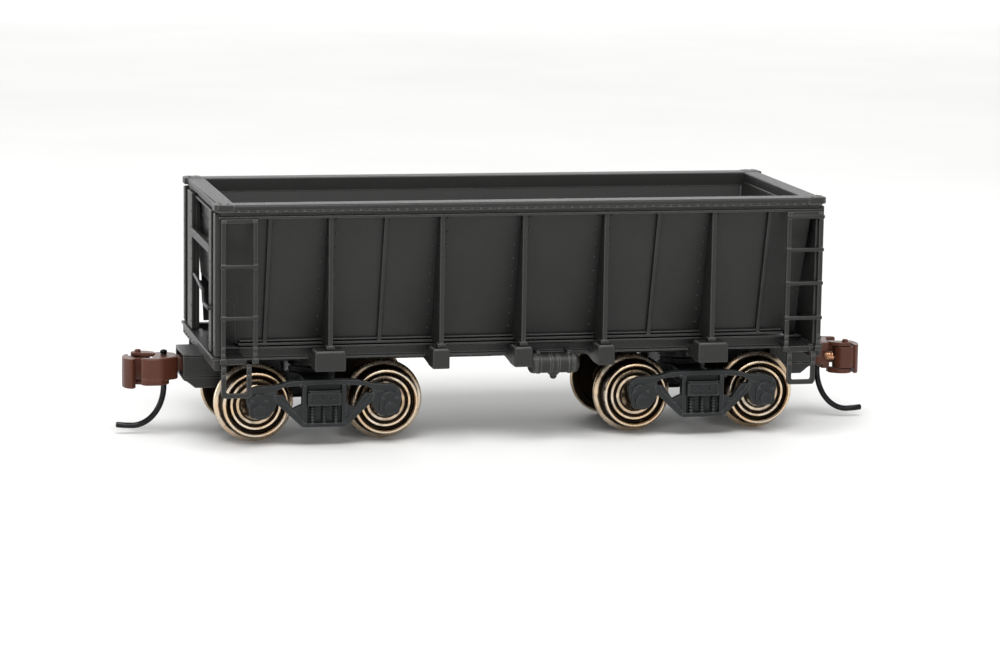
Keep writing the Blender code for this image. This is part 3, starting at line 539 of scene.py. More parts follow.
def make_underframe():
    """Sills, bearers, bolsters, end sills and draft boxes, with the hopper doors between them."""
    piece = Piece("underframe_fine")
    piece.box((-22.6, -6.2, 7.2), (22.6, 6.2, DECK_Z), 0.05)
    sill_end = BOX_X[0] + 0.2
    piece.box((-sill_end, -CENTRE_SILL_Y, 6.1), (sill_end, CENTRE_SILL_Y, DECK_Z - 0.1), 0.1)
    for end in (-1, 1):
        x = span(DRAFT_SILL_X, sill_end, end)
        piece.box((x[0], -CENTRE_SILL_Y, 5.3), (x[1], CENTRE_SILL_Y, 6.3), 0.1)
    low, high = SILL_Z
    inner, outer = SILL_Y
    web, lip, fillet = outer - 0.3, 0.16, 0.24
    channel = [(inner, low), (outer, low), (outer, low + lip), (web, low + fillet), (web, high - fillet),
               (outer, high - lip), (outer, high), (inner, high)]
    for side in (-1, 1):
        piece.prism([(side * y, z) for y, z in channel], -24.2, 24.2, "YZ", 0.04)
    for x_low, x_high in BEARERS:
        add_bearer(piece, x_low, x_high)
    for end in (-1, 1):
        add_platform(piece, end)
        add_draft_box(piece, end)
        piece.lathe([(0.62, 0.1), (0.62, 1.5), (1.9, 1.5), (1.9, 0.08), (1.8, 0)], (end * TRUCK_X, 0, 5.62),
                    (0, 0, 1), 48, closed=True)
        for side in (-1, 1):
            add_doors(piece, end, side)
            y = span(2.2, 5.4, side)
            piece.box((end * TRUCK_X - 1.0, y[0], 6.35), (end * TRUCK_X + 1.0, y[1], 7.3), 0.12)
    return piece.finish("car_body", "black_plastic", "underframe")


def add_bearer(piece, x_low, x_high):
    """A bearer across the car, with square ends that carry the posts."""
    edge = [(9.3, DECK_Z), (9.3, BEARER_LOW_Z + 0.06), (8.0, BEARER_LOW_Z + 0.06), (6.3, BEARER_LOW_Z + 0.25)]
    piece.prism(edge + [(-y, z) for y, z in reversed(edge)], x_low + 0.03, x_high - 0.03, "YZ", 0.05)
    for side in (-1, 1):
        y = span(8.0, BEARER_Y, side)
        piece.box((x_low, y[0], BEARER_LOW_Z), (x_high, y[1], SILL_Z[1]), 0.12, 3)
        cap = span(8.1, BEARER_Y - 0.08, side)
        piece.box((x_low + 0.12, cap[0], SILL_Z[1] - 0.05), (x_high - 0.12, cap[1], SILL_Z[1] + 0.07), 0.05)


def add_platform(piece, end):
    """The end sill with its lip, and the deck that the corner posts stand on."""
    y = END_SILL_Y
    sill = span(24.1, 25.0, end)
    lip = span(24.0, 25.15, end)
    deck = span(22.4, 24.9, end)
    piece.box((sill[0], -y, 6.8), (sill[1], y, DECK_Z + 0.2), 0.09, 3)
    piece.box((lip[0], -y, DECK_Z + 0.12), (lip[1], y, DECK_Z + 0.36), 0.07, 3)
    piece.box((deck[0], -y + 0.05, DECK_Z - 0.3), (deck[1], y - 0.05, DECK_Z + 0.2), 0.05)
    for step in range(-6, 7):
        if abs(step) > 1:
            piece.rivet((end * 25.0, step * 1.42, 7.05), (end, 0, 0), 0.1)


def add_draft_box(piece, end):
    """Top, cheeks and back of the box that holds a coupler's shank, with its boss."""
    low, top, wall = 5.12, 6.72, 0.45
    x = span(*BOX_X, end)
    piece.box((x[0], -BOX_Y, top - 0.02), (x[1], BOX_Y, top + 0.25), 0.06)
    back = span(BOX_X[0], BOX_X[0] + 0.4, end)
    piece.box((back[0], -BOX_Y + 0.02, low), (back[1], BOX_Y - 0.02, top + 0.1), 0.05)
    for side in (-1, 1):
        y = span(BOX_Y - wall, BOX_Y, side)
        piece.box((x[0], y[0], low), (x[1], y[1], top + 0.15), 0.06)
    boss = [(0.36, 0), (0.36, 1.3), (0.62, 1.3), (0.62, 0)]
    piece.lathe(boss, (end * COUPLER_X, 0, low + 0.08), (0, 0, 1), 32, closed=True)


def add_doors(piece, end, side):
    """A hopper door with its ribs, hinges and latch bar, seen from below."""
    x = span(1.5, 5.3, end)
    y = span(2.2, 5.3, side)
    piece.box((x[0], y[0], 6.98), (x[1], y[1], 7.25), 0.06)
    for step in range(3):
        rib = x[0] + 0.6 + 1.3 * step
        piece.box((rib - 0.12, y[0] + 0.2, 6.8), (rib + 0.12, y[1] - 0.2, 7.05), 0.05)
    for step in (0.2, 0.8):
        hinge_x = x[0] + (x[1] - x[0]) * step
        piece.rod((hinge_x - 0.3, side * 2.2, 6.95), (hinge_x + 0.3, side * 2.2, 6.95), 0.2)
    piece.rod((x[0] + 0.1, side * 4.9, 6.8), (x[1] - 0.1, side * 4.9, 6.8), 0.12)


def make_air_reservoir():
    """A tank with domed ends, two straps, a seam and its drain fitting."""
    low, high = node_box("air_reservoir")
    radius, dome, half = 0.78, 0.4, (high.x - low.x) / 2
    centre = Vector(((low.x + high.x) / 2, -7.6, 6.46))
    shoulder = half - dome
    arc = [math.radians(10 * step) for step in range(1, 10)]
    cap = [(radius * math.sin(a), shoulder + dome * math.cos(a)) for a in arc]
    lip = [(radius, shoulder - 0.1), (radius + 0.03, shoulder - 0.12), (radius + 0.03, shoulder - 0.2),
           (radius, shoulder - 0.22)]
    profile = cap + lip
    piece = Piece("air_reservoir_fine")
    piece.lathe(profile + [(r, -h) for r, h in reversed(profile)], centre, (1, 0, 0))
    for offset in (-1.3, 1.3):
        band = [(radius - 0.1, -0.14), (radius + 0.06, -0.14), (radius + 0.06, 0.14), (radius - 0.1, 0.14)]
        piece.lathe(band, centre + Vector((offset, 0, 0)), (1, 0, 0), closed=True, bevel=0.03)
        piece.box((centre.x + offset - 0.14, -7.7, 6.9), (centre.x + offset + 0.14, -6.4, 7.5), 0.04)
    seam = [(radius - 0.1, -0.08), (radius + 0.04, -0.08), (radius + 0.04, 0.08), (radius - 0.1, 0.08)]
    for offset in (-0.3, 0.3):
        piece.lathe(seam, centre + Vector((offset, 0, 0)), (1, 0, 0), closed=True, bevel=0.02)
    drain = [(0.5, 0), (0.5, -0.75), (0.42, -0.88), (0.3, -0.95), (0.28, -1.1), (0.2, -1.24), (0.1, -1.28)]
    piece.lathe(drain, centre, (0, 0, 1), 24)
    return piece.finish("car_body", "black_plastic", "air_reservoir")


def make_brake_cylinder():
    """An upright cylinder with a bolted flange, a band round its middle and a domed top."""
    low, high = node_box("brake_cylinder")
    centre_x, centre_y = (low.x + high.x) / 2, (low.y + high.y) / 2
    piece = Piece("brake_cylinder_fine")
    radius, flange, band_z = 0.42, 0.54, 9.7
    profile = [(0.04, high.z), (0.2, high.z - 0.02), (0.34, high.z - 0.08), (radius, high.z - 0.2),
               (radius, band_z + 0.22), (0.5, band_z + 0.18), (flange, band_z + 0.12),
               (flange, band_z - 0.12), (0.5, band_z - 0.18), (radius, band_z - 0.22),
               (radius, low.z + 0.34), (flange, low.z + 0.28), (flange, low.z)]
    piece.lathe(profile, (centre_x, centre_y, 0), (0, 0, 1), 40)
    for step in range(6):
        angle = math.radians(60 * step)
        place = (centre_x + 0.47 * math.cos(angle), centre_y + 0.47 * math.sin(angle), low.z + 0.29)
        piece.rivet(place, (0, 0, 1), 0.06)
    return piece.finish("car_body", "black_plastic", "brake_cylinder")


# Ladders, steps, grab irons and brake wheel ----------------------------------------------

LADDER_X = {"b": (21.95, 24.65), "a": (21.75, 24.3)}
LADDER_Z = (7.35, 18.85)
LADDER_BACK, LADDER_FRONT = -9.55, -9.85
STEP_X = (22.24, 24.26)          # middles of a step's two hangers
RUNGS = {"b": (10.1, 12.95, 15.7, 18.4), "a": (11.0, 15.1)}
STEP_LOW_Z = 4.6


def make_side_ladder(name, stiles_x, rungs, end, side):
    """Two stiles with round rungs that overlap them, bolted feet and top brackets."""
    piece = Piece(f"{name}_fine", corner_place(end, side))
    left, right = stiles_x
    low, high = LADDER_Z
    for x in stiles_x:
        piece.box((x - 0.19, LADDER_FRONT + 0.02, low), (x + 0.19, LADDER_BACK, high), 0.07, 3)
        piece.box((x - 0.27, LADDER_FRONT - 0.07, low), (x + 0.27, LADDER_BACK, low + 0.4), 0.07)
        for z in (low + 0.2, low + 0.75, low + 1.25):
            piece.rivet((x, LADDER_FRONT + 0.02, z), (0, -1, 0), 0.1)
        piece.rivet((x, LADDER_FRONT + 0.02, high - 0.18), (0, -1, 0), 0.1)
    for z in rungs:
        y = LADDER_FRONT + 0.08
        piece.box((left - 0.26, y - 0.17, z - 0.17), (right + 0.26, y + 0.12, z + 0.17), 0.12, 3)
    piece.box((left, LADDER_FRONT + 0.06, high - 0.33), (right, LADDER_BACK, high), 0.06)
    return piece.finish("car_body", "black_plastic", name)


def make_sill_step(name, end, side):
    """A bent strap below a side ladder, with two bolts on each hanger."""
    piece = Piece(f"{name}_fine", corner_place(end, side))
    x_left, x_right = STEP_X
    back, front = LADDER_BACK - 0.03, LADDER_FRONT + 0.02
    half, low, high = 0.2, STEP_LOW_Z, LADDER_Z[0] - 0.05
    outer = [(x_left - half, high), (x_left - half, low + 0.25), (x_left - half + 0.2, low),
             (x_right + half - 0.2, low), (x_right + half, low + 0.25), (x_right + half, high)]
    inner = [(x_right - half, high), (x_right - half, low + 0.5), (x_right - half - 0.1, low + 0.4),
             (x_left + half + 0.1, low + 0.4), (x_left + half, low + 0.5), (x_left + half, high)]
    piece.prism(outer + inner, front, back, "XZ", 0.06, 3)
    for x in (x_left, x_right):
        for z in (6.35, 6.95):
            piece.rivet((x, front, z), (0, -1, 0), 0.13)
    return piece.finish("car_body", "black_plastic", name)


def make_grab_iron(name, end):
    """A bent handrail with a flattened foot at one end."""
    piece = Piece(f"{name}_fine", end_place(end))
    start_y, knee_y, foot_y = -WIDE_STRIP_Y[0] + 0.05, 4.4, 7.45
    high, low, near_x, proud_x = 12.55, 11.5, 24.74, CORNER_X + 0.2
    route = [(near_x, start_y, high), (near_x + 0.1, start_y + 2.2, high), (proud_x, 3.0, high),
             (proud_x, knee_y - 0.25, high - 0.08), (proud_x, knee_y + 0.02, (high + low) / 2),
             (proud_x, knee_y + 0.3, low + 0.06), (proud_x, knee_y + 0.9, low), (proud_x, foot_y - 0.3, low),
             (proud_x - 0.15, foot_y - 0.05, low), (WEB_X[1] + 0.05, foot_y, low)]
    piece.tube(smooth_path(route, 5), 0.15)
    piece.lathe([(0.2, 0), (0.2, 0.12), (0.12, 0.2)], (proud_x - 0.05, foot_y - 0.08, low), (1, 0, 0), 16)
    return piece.finish("car_body", "black_plastic", name)


def make_brake_wheel():
    """A hand wheel with a round rim, three crossed spokes and a hub, on its staff."""
    low, high = node_box("brake_wheel")
    radius = (high.y - low.y) / 2
    x = CORNER_X + 0.55
    staff_x = x - 0.35
    centre = Vector((x, (low.y + high.y) / 2, high.z - radius))
    tube = 0.17
    profile = [(radius - tube + tube * math.cos(a), tube * 0.9 * math.sin(a))
               for a in (math.radians(36 * step) for step in range(10))]
    piece = Piece("brake_wheel_fine")
    piece.lathe(profile, centre, (1, 0, 0), 56, closed=True)
    for step in range(3):
        angle = math.radians(60 * step)
        along = Vector((0, math.cos(angle), math.sin(angle))) * (radius - tube)
        piece.tube([centre - along, centre - along * 0.3 + Vector((0.06, 0, 0)), centre + along * 0.3 +
                    Vector((0.06, 0, 0)), centre + along], 0.1, 10)
    piece.lathe([(0.2, -0.45), (0.36, -0.4), (0.36, 0.1), (0.25, 0.26), (0.05, 0.3)], centre, (1, 0, 0), 24)
    piece.rod((staff_x, centre.y, FRAME_LOW_Z), (staff_x, centre.y, centre.z + 0.1), 0.13)
    for z in (8.6, 11.2, 13.2):
        piece.box((CORNER_X - 0.3, centre.y - 0.22, z), (x - 0.2, centre.y + 0.22, z + 0.16), 0.04)
    return piece.finish("car_body", "black_plastic", "brake_wheel")


# Trucks ----------------------------------------------------------------------------------

AXLE_Z = PIVOTS["wheelset_b_outer"].z
AXLE_X = PIVOTS["wheelset_b_outer"].x - TRUCK_X
SIDE_IN, SIDE_OUT = 6.3, 7.15
ARCH_TOP = [(0.0, 5.47), (2.7, 5.39), (3.3, 5.2), (4.0, 5.05), (5.5, 4.98), (6.1, 4.7)]
ARCH_LOW = [(5.9, 4.3), (4.2, 4.45), (3.3, 4.9), (1.42, 5.03), (0.0, 5.07)]
JOURNAL = [(3.9, 4.85), (3.78, 3.7), (4.0, 3.1), (4.45, 2.48), (5.0, 2.27), (5.6, 2.38), (6.05, 2.85),
           (6.28, 3.6), (6.33, 4.2), (6.1, 4.7), (5.5, 4.95)]
DIAGONAL = [(1.6, 1.62), (1.8, 1.62), (3.8, 3.5), (4.1, 4.3), (3.75, 4.3), (3.4, 3.75), (1.75, 2.2)]
GUSSET = [(1.6, 1.75), (1.9, 1.8), (3.7, 3.45), (3.9, 4.3), (3.32, 4.25), (2.5, 3.1), (1.6, 3.5)]
SPRINGS_X = (-0.95, 0.0, 0.95)


def add_sideframe(piece, x, side):
    """A cast side: arch, uprights, diagonals, plank, journal boxes, bolster end and springs."""
    def flat(outline, inner, outer, bevel):
        y = span(inner, outer, side)
        piece.prism([(x + a, b) for a, b in outline], y[0], y[1], "XZ", bevel)

    arch = [(-a, b) for a, b in reversed(ARCH_TOP[1:])] + ARCH_TOP + ARCH_LOW[:-1]
    flat(arch + [(-a, b) for a, b in reversed(ARCH_LOW)], SIDE_IN, SIDE_OUT, 0.08)
    flat([(-1.75, 1.6), (1.75, 1.6), (1.75, 1.95), (-1.75, 1.95)], SIDE_IN, SIDE_OUT + 0.02, 0.07)
    flat([(-1.5, 1.7), (1.5, 1.7), (1.5, 5.2), (-1.5, 5.2)], SIDE_IN, SIDE_OUT - 0.42, 0.03)
    for sign in (-1, 1):
        flat([(sign * a, b) for a, b in ((1.42, 1.7), (1.78, 1.7), (1.78, 5.25), (1.42, 5.25))], SIDE_IN,
             SIDE_OUT - 0.03, 0.06)
        flat([(sign * a, b) for a, b in DIAGONAL], SIDE_IN, SIDE_OUT + 0.01, 0.07)
        flat([(sign * a, b) for a, b in GUSSET], SIDE_IN, SIDE_OUT - 0.17, 0.05)
        flat(rounded([(sign * a, b) for a, b in JOURNAL], 0.25), SIDE_IN + 0.1, SIDE_OUT - 0.04, 0.13)
        piece.rivet((x + sign * 1.9, side * (SIDE_OUT - 0.02), 4.99), (0, side, 0), 0.14)
        piece.rivet((x + sign * 2.35, side * (SIDE_OUT - 0.2), 2.75), (0, side, 0), 0.12)
        add_journal_box(piece, x + sign * AXLE_X, side)
    flat([(-1.37, 3.36), (1.37, 3.36), (1.37, 4.62), (-1.37, 4.62)], SIDE_OUT - 0.6, SIDE_OUT + 0.06, 0.05)
    for a0, b0, a1, b1 in ((-1.36, 3.37, 1.36, 3.52), (-1.36, 4.34, 1.36, 4.61), (-1.36, 3.4, -1.14, 4.6),
                           (1.14, 3.4, 1.36, 4.6)):
        flat([(a0, b0), (a1, b0), (a1, b1), (a0, b1)], SIDE_OUT - 0.2, SIDE_OUT + 0.19, 0.05)
    for a in (-0.7, -0.1, 0.55):
        piece.rivet((x + a, side * (SIDE_OUT + 0.05), 3.92), (0, side, 0), 0.16)
    for a in SPRINGS_X:
        add_spring(piece, (x + a, side * (SIDE_OUT - 0.2), 1.9), 1.5)
    for a in (-0.48, 0.48):
        divider = [(a - 0.1, 1.9), (a + 0.1, 1.9), (a + 0.1, 3.4), (a - 0.1, 3.4)]
        flat(divider, SIDE_OUT - 0.5, SIDE_OUT - 0.36, 0.03)


def add_spring(piece, foot, height):
    """A moulded coil spring, which is a rod with a row of rounded rings."""
    radius, turns = 0.22, 6
    steps = turns * 6
    profile = [(radius - 0.045 * (1 - math.cos(2 * math.pi * step * turns / steps)), height * step / steps)
               for step in range(steps + 1)]
    piece.lathe(profile, foot, (0, 0, 1), 20)


def add_journal_box(piece, x, side):
    """The box over an axle end: an arched relief with a domed cap and its bolts."""
    face = SIDE_OUT - 0.06
    half, spring_z, foot_half = 0.82, 3.6, 0.6
    arch = [(x + half * math.cos(a), spring_z + half * math.sin(a))
            for a in (math.radians(15 * step) for step in range(13))]
    y = span(face - 0.3, SIDE_OUT + 0.2, side)
    foot = [(x - half, 2.75), (x - foot_half, 2.5), (x + foot_half, 2.5), (x + half, 2.75)]
    piece.prism(arch + foot, y[0], y[1], "XZ", 0.09, 3)
    cap = [(0.62, 0), (0.62, 0.12), (0.54, 0.17), (0.54, 0.34), (0.48, 0.44), (0.3, 0.49), (0.05, 0.5)]
    piece.lathe(cap, (x, side * (SIDE_OUT), 3.1), (0, side, 0), 32)
    for sign in (-1, 1):
        piece.rivet((x + sign * 0.55, side * (SIDE_OUT + 0.2), 3.85), (0, side, 0), 0.1)


def make_truck(name, x):
    """Both sides, and the bolster with its centre bearing."""
    piece = Piece(f"truck_{name}_fine")
    for side in (-1, 1):
        add_sideframe(piece, x, side)
        y = span(1.5, SIDE_IN + 0.2, side)
        piece.box((x - 1.28, y[0], 3.97), (x + 1.28, y[1], 5.08), 0.14, 3)
        y = span(2.6, SIDE_IN, side)
        piece.box((x - 0.7, y[0], 3.75), (x + 0.7, y[1], 4.2), 0.1)
    bowl = [(0.62, 5.55), (0.62, 4.3), (1.25, 4.3), (1.25, 3.95), (2.0, 3.95), (2.05, 4.05), (2.05, 5.05),
            (1.95, 5.12), (1.8, 5.14), (1.8, 5.5), (1.75, 5.55)]
    piece.lathe(bowl, (x, 0, 0), (0, 0, 1), 56, closed=True)
    return piece.finish("truck_" + name, "truck_plastic", "truck_frame_" + name)


# Wheels ----------------------------------------------------------------------------------

BORE_R = 0.77
WHEEL_FACE = [
    (BORE_R, -0.1), (1.2, -0.1), (1.27, -0.13), (1.33, -0.22), (1.4, -0.25), (1.56, -0.25), (1.62, -0.3),
    (1.68, -0.42), (1.77, -0.43), (1.82, -0.3), (1.88, -0.23), (2.04, -0.22), (2.1, -0.27), (2.17, -0.46),
    (2.24, -0.52), (2.34, -0.52), (2.39, -0.3), (2.42, -0.07), (2.47, -0.01), (2.53, 0.0), (2.6, -0.01),
    (2.64, -0.05), (2.66, -0.12), (2.67, -0.6), (2.69, -1.2), (2.72, -1.29), (2.82, -1.36), (2.98, -1.42),
    (3.12, -1.49), (3.21, -1.57), (3.25, -1.67), (3.22, -1.77), (3.14, -1.83), (3.0, -1.85), (2.6, -1.85),
    (2.5, -1.8), (2.42, -1.65), (1.4, -1.62), (1.3, -1.8), (1.22, -1.85), (BORE_R, -1.85),
]
POLISHED = ((1.0, 1.24, 0.3), (1.36, 1.6, 0.75), (1.8, 2.12, 0.85), (2.4, 2.66, 1.0), (2.95, 3.3, 1.0))


def wheel_polish_and_shade(radius, depth):
    """How polished a wheel is, from the radius and from the depth behind its front face; the tread and the back
    faces get a value below 0, which paints them black as shade.
    """
    # Painted shade: the tread and the back faces, which sit in shadow, are given the black end.
    if depth > 1.55 and radius < 3.1 or radius > 2.6 and 0.13 < depth < 1.3:
        return -0.3
    bands = [amount for low, high, amount in POLISHED if low <= radius <= high]
    return max(bands, default=0.0)


def mark_polish_and_shade(obj, centre_x, front_y, side):
    polish_and_shade = obj.data.attributes.new("polish_and_shade", "FLOAT", "POINT")
    for vert, value in zip(obj.data.vertices, polish_and_shade.data):
        place = vert.co / MM
        radius = math.hypot(place.x - centre_x, place.z - AXLE_Z)
        value.value = wheel_polish_and_shade(radius, (front_y - place.y) * side)


def make_wheelset(name):
    """An axle with needle points and two flanged wheels, all on one body."""
    body = "wheelset_" + name
    pivot = PIVOTS[body]
    axle = Piece(f"axle_{name}_fine")
    half = [(0.03, SIDE_IN + 0.58), (0.1, SIDE_IN + 0.5), (0.72, SIDE_IN - 0.2), (0.75, SIDE_IN - 0.26),
            (0.75, 5.6), (0.75, 3.82), (0.7, 3.6), (0.62, 3.4)]
    axle.lathe(half + [(r, -y) for r, y in reversed(half)], pivot, (0, 1, 0), 40)
    obj = axle.finish(body, "wheel_metal", "axle_" + name)
    # The axle is given the same black end throughout.
    polish_and_shade = obj.data.attributes.new("polish_and_shade", "FLOAT", "POINT")
    for value in polish_and_shade.data:
        value.value = -0.3
    for word, side in SIDES.items():
        node = f"wheel_{name}_{word}"
        low, high = node_box(node)
        front_y = high.y if side > 0 else low.y
        wheel = Piece(node + "_fine")
        wheel.lathe(WHEEL_FACE, (pivot.x, front_y, AXLE_Z), (0, side, 0), 96, closed=True)
        mark_polish_and_shade(wheel.finish(body, "wheel_metal", node), pivot.x, front_y, side)


# Couplers, made at the +X end ------------------------------------------------------------

HEAD = [(26.75, -1.0), (27.5, -1.45), (28.45, -1.45), (28.45, -0.35), (28.75, 0.35), (28.85, 1.2),
        (29.75, 1.25), (29.85, 1.7), (29.45, 2.05), (28.2, 2.05), (26.75, 1.1)]
LOWER_HEAD = [(27.75, -1.45), (28.45, -1.45), (28.45, -0.35), (28.75, 0.35), (28.85, 1.2), (29.75, 1.25),
              (29.85, 1.7), (29.45, 2.05), (28.2, 2.05), (27.5, 1.4)]
JAW = [(28.4, -1.4), (29.1, -2.0), (29.75, -2.05), (30.2, -1.85), (30.35, -1.45), (30.2, -1.05),
       (29.7, -0.85), (28.4, -0.5)]
KNUCKLE_ROOT = [(28.75, -0.95), (28.75, -1.55), (29.2, -2.15), (30.1, -2.1), (30.75, -1.6), (30.75, -0.6),
                (29.6, -0.6)]
KNUCKLE_NOSE = [(30.5, -2.0), (30.9, -1.6), (31.15, -0.7), (31.05, 0.35), (30.5, 0.95), (30.05, 0.4),
                (30.25, -0.3), (30.5, -0.85)]
JAWS_Z = ((3.98, 4.38), (6.3, 6.62))
TRIP_PIN_X = 27.8


def make_coupler(name, end):
    """A coupler's shank and head with rounded cast shapes, its spring, trip pin and knuckle."""
    body = "coupler_" + name
    piece = Piece(f"coupler_shank_{name}_fine", end_place(end))
    piece.box((COUPLER_X + 0.8, -0.82, 5.32), (27.4, 0.82, 6.46), 0.12, 3)
    eye = [(0.7, 5.3), (0.7, 6.5), (1.2, 6.5), (1.2, 5.3)]
    piece.lathe(eye, (COUPLER_X, 0, 0), (0, 0, 1), 40, closed=True)
    piece.prism(rounded(HEAD, 0.3), 4.72, JAWS_Z[1][1] - 0.05, "XY", 0.14, 3)
    piece.prism(rounded(LOWER_HEAD, 0.2), 4.37, 4.95, "XY", 0.1, 3)
    for low, high in JAWS_Z:
        piece.prism(rounded(JAW, 0.2), low, high, "XY", 0.08, 3)
    piece.finish(body, "coupler_plastic", "coupler_shank_" + name)

    wire = Piece(f"trip_pin_{name}_fine", end_place(end))
    radius_x, radius_z, bend_z = 2.55, 3.3, 4.0
    route = [(TRIP_PIN_X, 0, 7.0), (TRIP_PIN_X, 0, 5.5), (TRIP_PIN_X, 0, bend_z)]
    for step in range(1, 25):
        angle = math.radians(90 * step / 24)
        out = TRIP_PIN_X + radius_x * (1 - math.cos(angle))
        route.append((out, -0.02 * step, bend_z - radius_z * math.sin(angle)))
    route += [(31.0, -0.49, 0.73), (31.65, -0.5, 0.8)]
    wire.tube(route, 0.24, 20)
    head = [(0.27, 0), (0.3, 0.06), (0.28, 0.2), (0.15, 0.28), (0.04, 0.3)]
    wire.lathe(head, (TRIP_PIN_X, 0, 6.72), (0, 0, 1), 20)
    wire.finish(body, "dark_wire", "trip_pin_" + name)

    spring = Piece(f"knuckle_spring_{name}_fine", end_place(end))
    add_helix(spring, (27.92, -1.75, 5.5), (28.6, -1.75, 5.5), 0.3, 5, 0.055)
    spring.finish(body, "bronze_wire", "knuckle_spring_" + name)

    knuckle = Piece(f"knuckle_{name}_fine", end_place(end))
    knuckle.prism(rounded(KNUCKLE_ROOT, 0.25), JAWS_Z[0][1] + 0.05, JAWS_Z[1][0] - 0.05, "XY", 0.1, 3)
    knuckle.prism(rounded(KNUCKLE_NOSE, 0.35, 6), 3.95, 6.38, "XY", 0.16, 4)
    pivot = end_place(end) @ PIVOTS["knuckle_" + name]
    knuckle.lathe([(0.24, 4.1), (0.26, 4.2), (0.26, 6.72), (0.2, 6.82), (0.05, 6.85)], (pivot.x, pivot.y, 0),
                  (0, 0, 1), 24)
    knuckle.finish("knuckle_" + name, "coupler_plastic", "knuckle_" + name)


def add_helix(piece, start, end, radius, turns, thick):
    """A coil spring of round wire between two points of a level line."""
    start, end = Vector(start), Vector(end)
    along = (end - start).normalized()
    up = Vector((0, 0, 1))
    across = along.cross(up)
    steps = turns * 16
    points = []
    for step in range(steps + 1):
        angle = 2 * math.pi * step / 16
        outward = math.cos(angle) * across + math.sin(angle) * up
        points.append(start.lerp(end, step / steps) + radius * outward)
    piece.tube(points, thick, 8)


def make_centring_spring(name, end):
    piece = Piece(f"centring_spring_{name}_fine", end_place(end))
    add_helix(piece, (COUPLER_X + 1.3, 1.5, 5.9), (COUPLER_X - 0.65, 1.5, 5.9), 0.3, 8, 0.06)
    piece.finish("car_body", "bronze_wire", "centring_spring_" + name)


# CAD nodes that stay in view ---------------------------------------------------------------


def soften(obj, radius):
    """Rounds the sharp edges of a faceted solid: coplanar triangles are merged first."""
    weld = obj.modifiers.new("weld", "WELD")
    weld.merge_threshold = 2e-7
    merge = obj.modifiers.new("merge", "DECIMATE")
    merge.decimate_type = "DISSOLVE"
    merge.angle_limit = math.radians(1.0)
    bevel = obj.modifiers.new("bevel", "BEVEL")
    bevel.width = radius * MM
    bevel.segments = 2
    bevel.limit_method = "ANGLE"
    bevel.angle_limit = SHARP
    normals = obj.modifiers.new("normals", "WEIGHTED_NORMAL")
    normals.keep_sharp = True
    normals.weight = 60


def dress_nodes():
    """Gives every CAD node its slot's material, and rounds the edges of those that stay in view."""
    for name, obj in NODES.items():
        obj.data.materials.clear()
        obj.data.materials.append(MATERIALS[SLOT_OF[name]])
        if not obj.hide_render:
            for polygon in obj.data.polygons:
                polygon.use_smooth = True
            soften(obj, 0.05)


# Floor, light and camera -------------------------------------------------------------------

FOCAL = 124.1
CAMERA_YAW = 12.711
CAMERA_PITCH = 9.288
CAMERA_ROLL = 0.84
CAMERA_TARGET = (0.19, 0.0, 7.75)
CAMERA_DISTANCE = 285.99
LAMPS = (                        # name, place, aim, size and power
    ("overhead", (-40, -190, 400), (0, 0, 8), (300, 260), 1.9),
    ("front", (20, -440, 180), (0, 0, 10), (260, 200), 0.24),
    ("backdrop", (120, 620, 110), (0, 0, 15), (1500, 260), 1.6),
    ("left", (-520, 40, 120), (0, 0, 10), (260, 200), 0.5),
)


def add_floor():
    mesh = bpy.data.meshes.new("floor")
    half = 3.0                   # metres
    mesh.from_pydata(rect((half, half), 0), [], [(0, 1, 2, 3)])
    floor = bpy.data.objects.new("floor", mesh)
    bpy.context.scene.collection.objects.link(floor)
    s = Shader("floor_paper")
    tone = s.spread(s.noise(0.02, 3), 0.3, 0.7)
    s.link(s.blend(tone, (0.74, 0.74, 0.73), (0.78, 0.78, 0.77)), s.surface.inputs["Base Color"])
    s.surface.inputs["Roughness"].default_value = 0.6
    floor.data.materials.append(s.material)


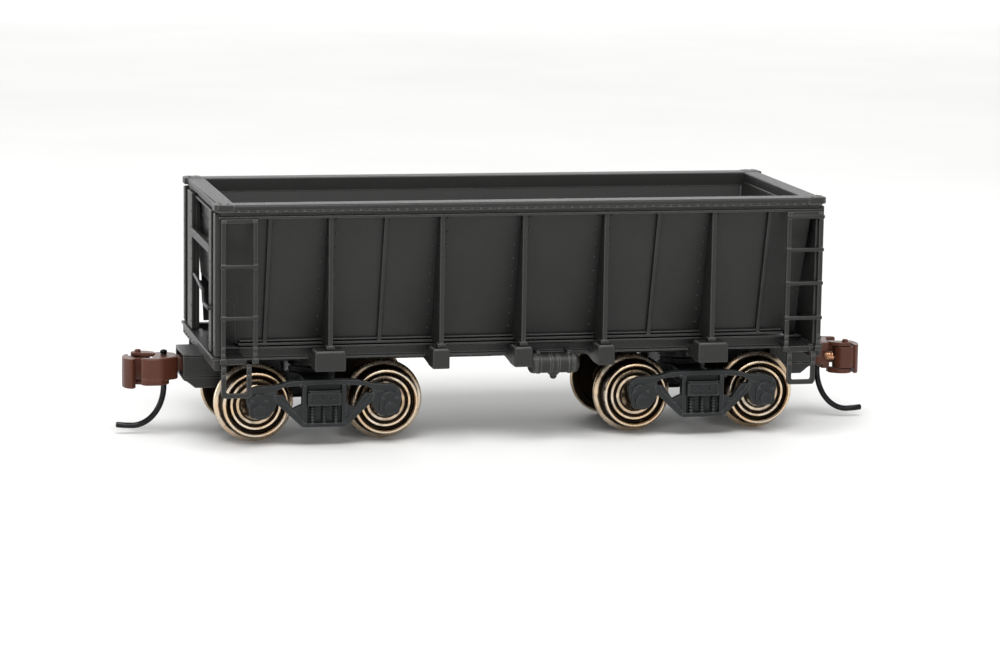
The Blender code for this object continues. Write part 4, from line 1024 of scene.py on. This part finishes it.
def add_light(name, place, aim, size, power):
    """An area lamp at a place, aimed at a point, with its size in millimetres and power in watts."""
    light = bpy.data.lights.new(name, "AREA")
    light.shape = "RECTANGLE"
    light.size, light.size_y = size[0] * MM, size[1] * MM
    light.energy = power
    obj = bpy.data.objects.new(name, light)
    obj.location = Vector(place) * MM
    obj.rotation_euler = (Vector(aim) - Vector(place)).to_track_quat("-Z", "Y").to_euler()
    bpy.context.scene.collection.objects.link(obj)


def add_world(colour, strength):
    world = bpy.data.worlds.new("studio")
    world.use_nodes = True
    background = world.node_tree.nodes["Background"]
    background.inputs["Color"].default_value = (*colour, 1.0)
    background.inputs["Strength"].default_value = strength
    bpy.context.scene.world = world


def add_camera():
    yaw, pitch, roll = (math.radians(a) for a in (CAMERA_YAW, CAMERA_PITCH, CAMERA_ROLL))
    forward = Vector((math.sin(yaw) * math.cos(pitch), math.cos(yaw) * math.cos(pitch), -math.sin(pitch)))
    level = Vector((math.cos(yaw), -math.sin(yaw), 0))
    upright = level.cross(forward)
    right = math.cos(roll) * level + math.sin(roll) * upright
    up = -math.sin(roll) * level + math.cos(roll) * upright
    place = (Vector(CAMERA_TARGET) - CAMERA_DISTANCE * forward) * MM
    camera = bpy.data.cameras.new("camera")
    camera.lens = FOCAL
    camera.sensor_width = 36.0
    camera.clip_start = 0.01
    camera.clip_end = 20.0
    obj = bpy.data.objects.new("camera", camera)
    turn = Matrix((right, up, -forward)).transposed().to_4x4()
    obj.matrix_world = Matrix.Translation(place) @ turn
    bpy.context.scene.collection.objects.link(obj)
    bpy.context.scene.camera = obj


def make_pieces():
    make_tub()
    make_top_chord()
    make_side_posts()
    make_end_frames()
    make_underframe()
    make_air_reservoir()
    make_brake_cylinder()
    make_brake_wheel()
    for name, end in ENDS.items():
        make_grab_iron("end_grab_iron_" + name, end)
        make_centring_spring(name, end)
        make_coupler(name, end)
        make_truck(name, end * TRUCK_X)
        for word, side in SIDES.items():
            make_side_ladder(f"side_ladder_{name}_{word}", LADDER_X[name], RUNGS[name], end, side)
            make_sill_step(f"sill_step_{name}_{word}", end, side)
        for place in ("outer", "inner"):
            make_wheelset(f"{name}_{place}")
    dress_nodes()


make_pieces()
add_floor()
add_world((1.0, 1.0, 1.0), 0.7)
for lamp in LAMPS:
    add_light(*lamp)
add_camera()
bpy.context.scene.view_settings.view_transform = "Standard"
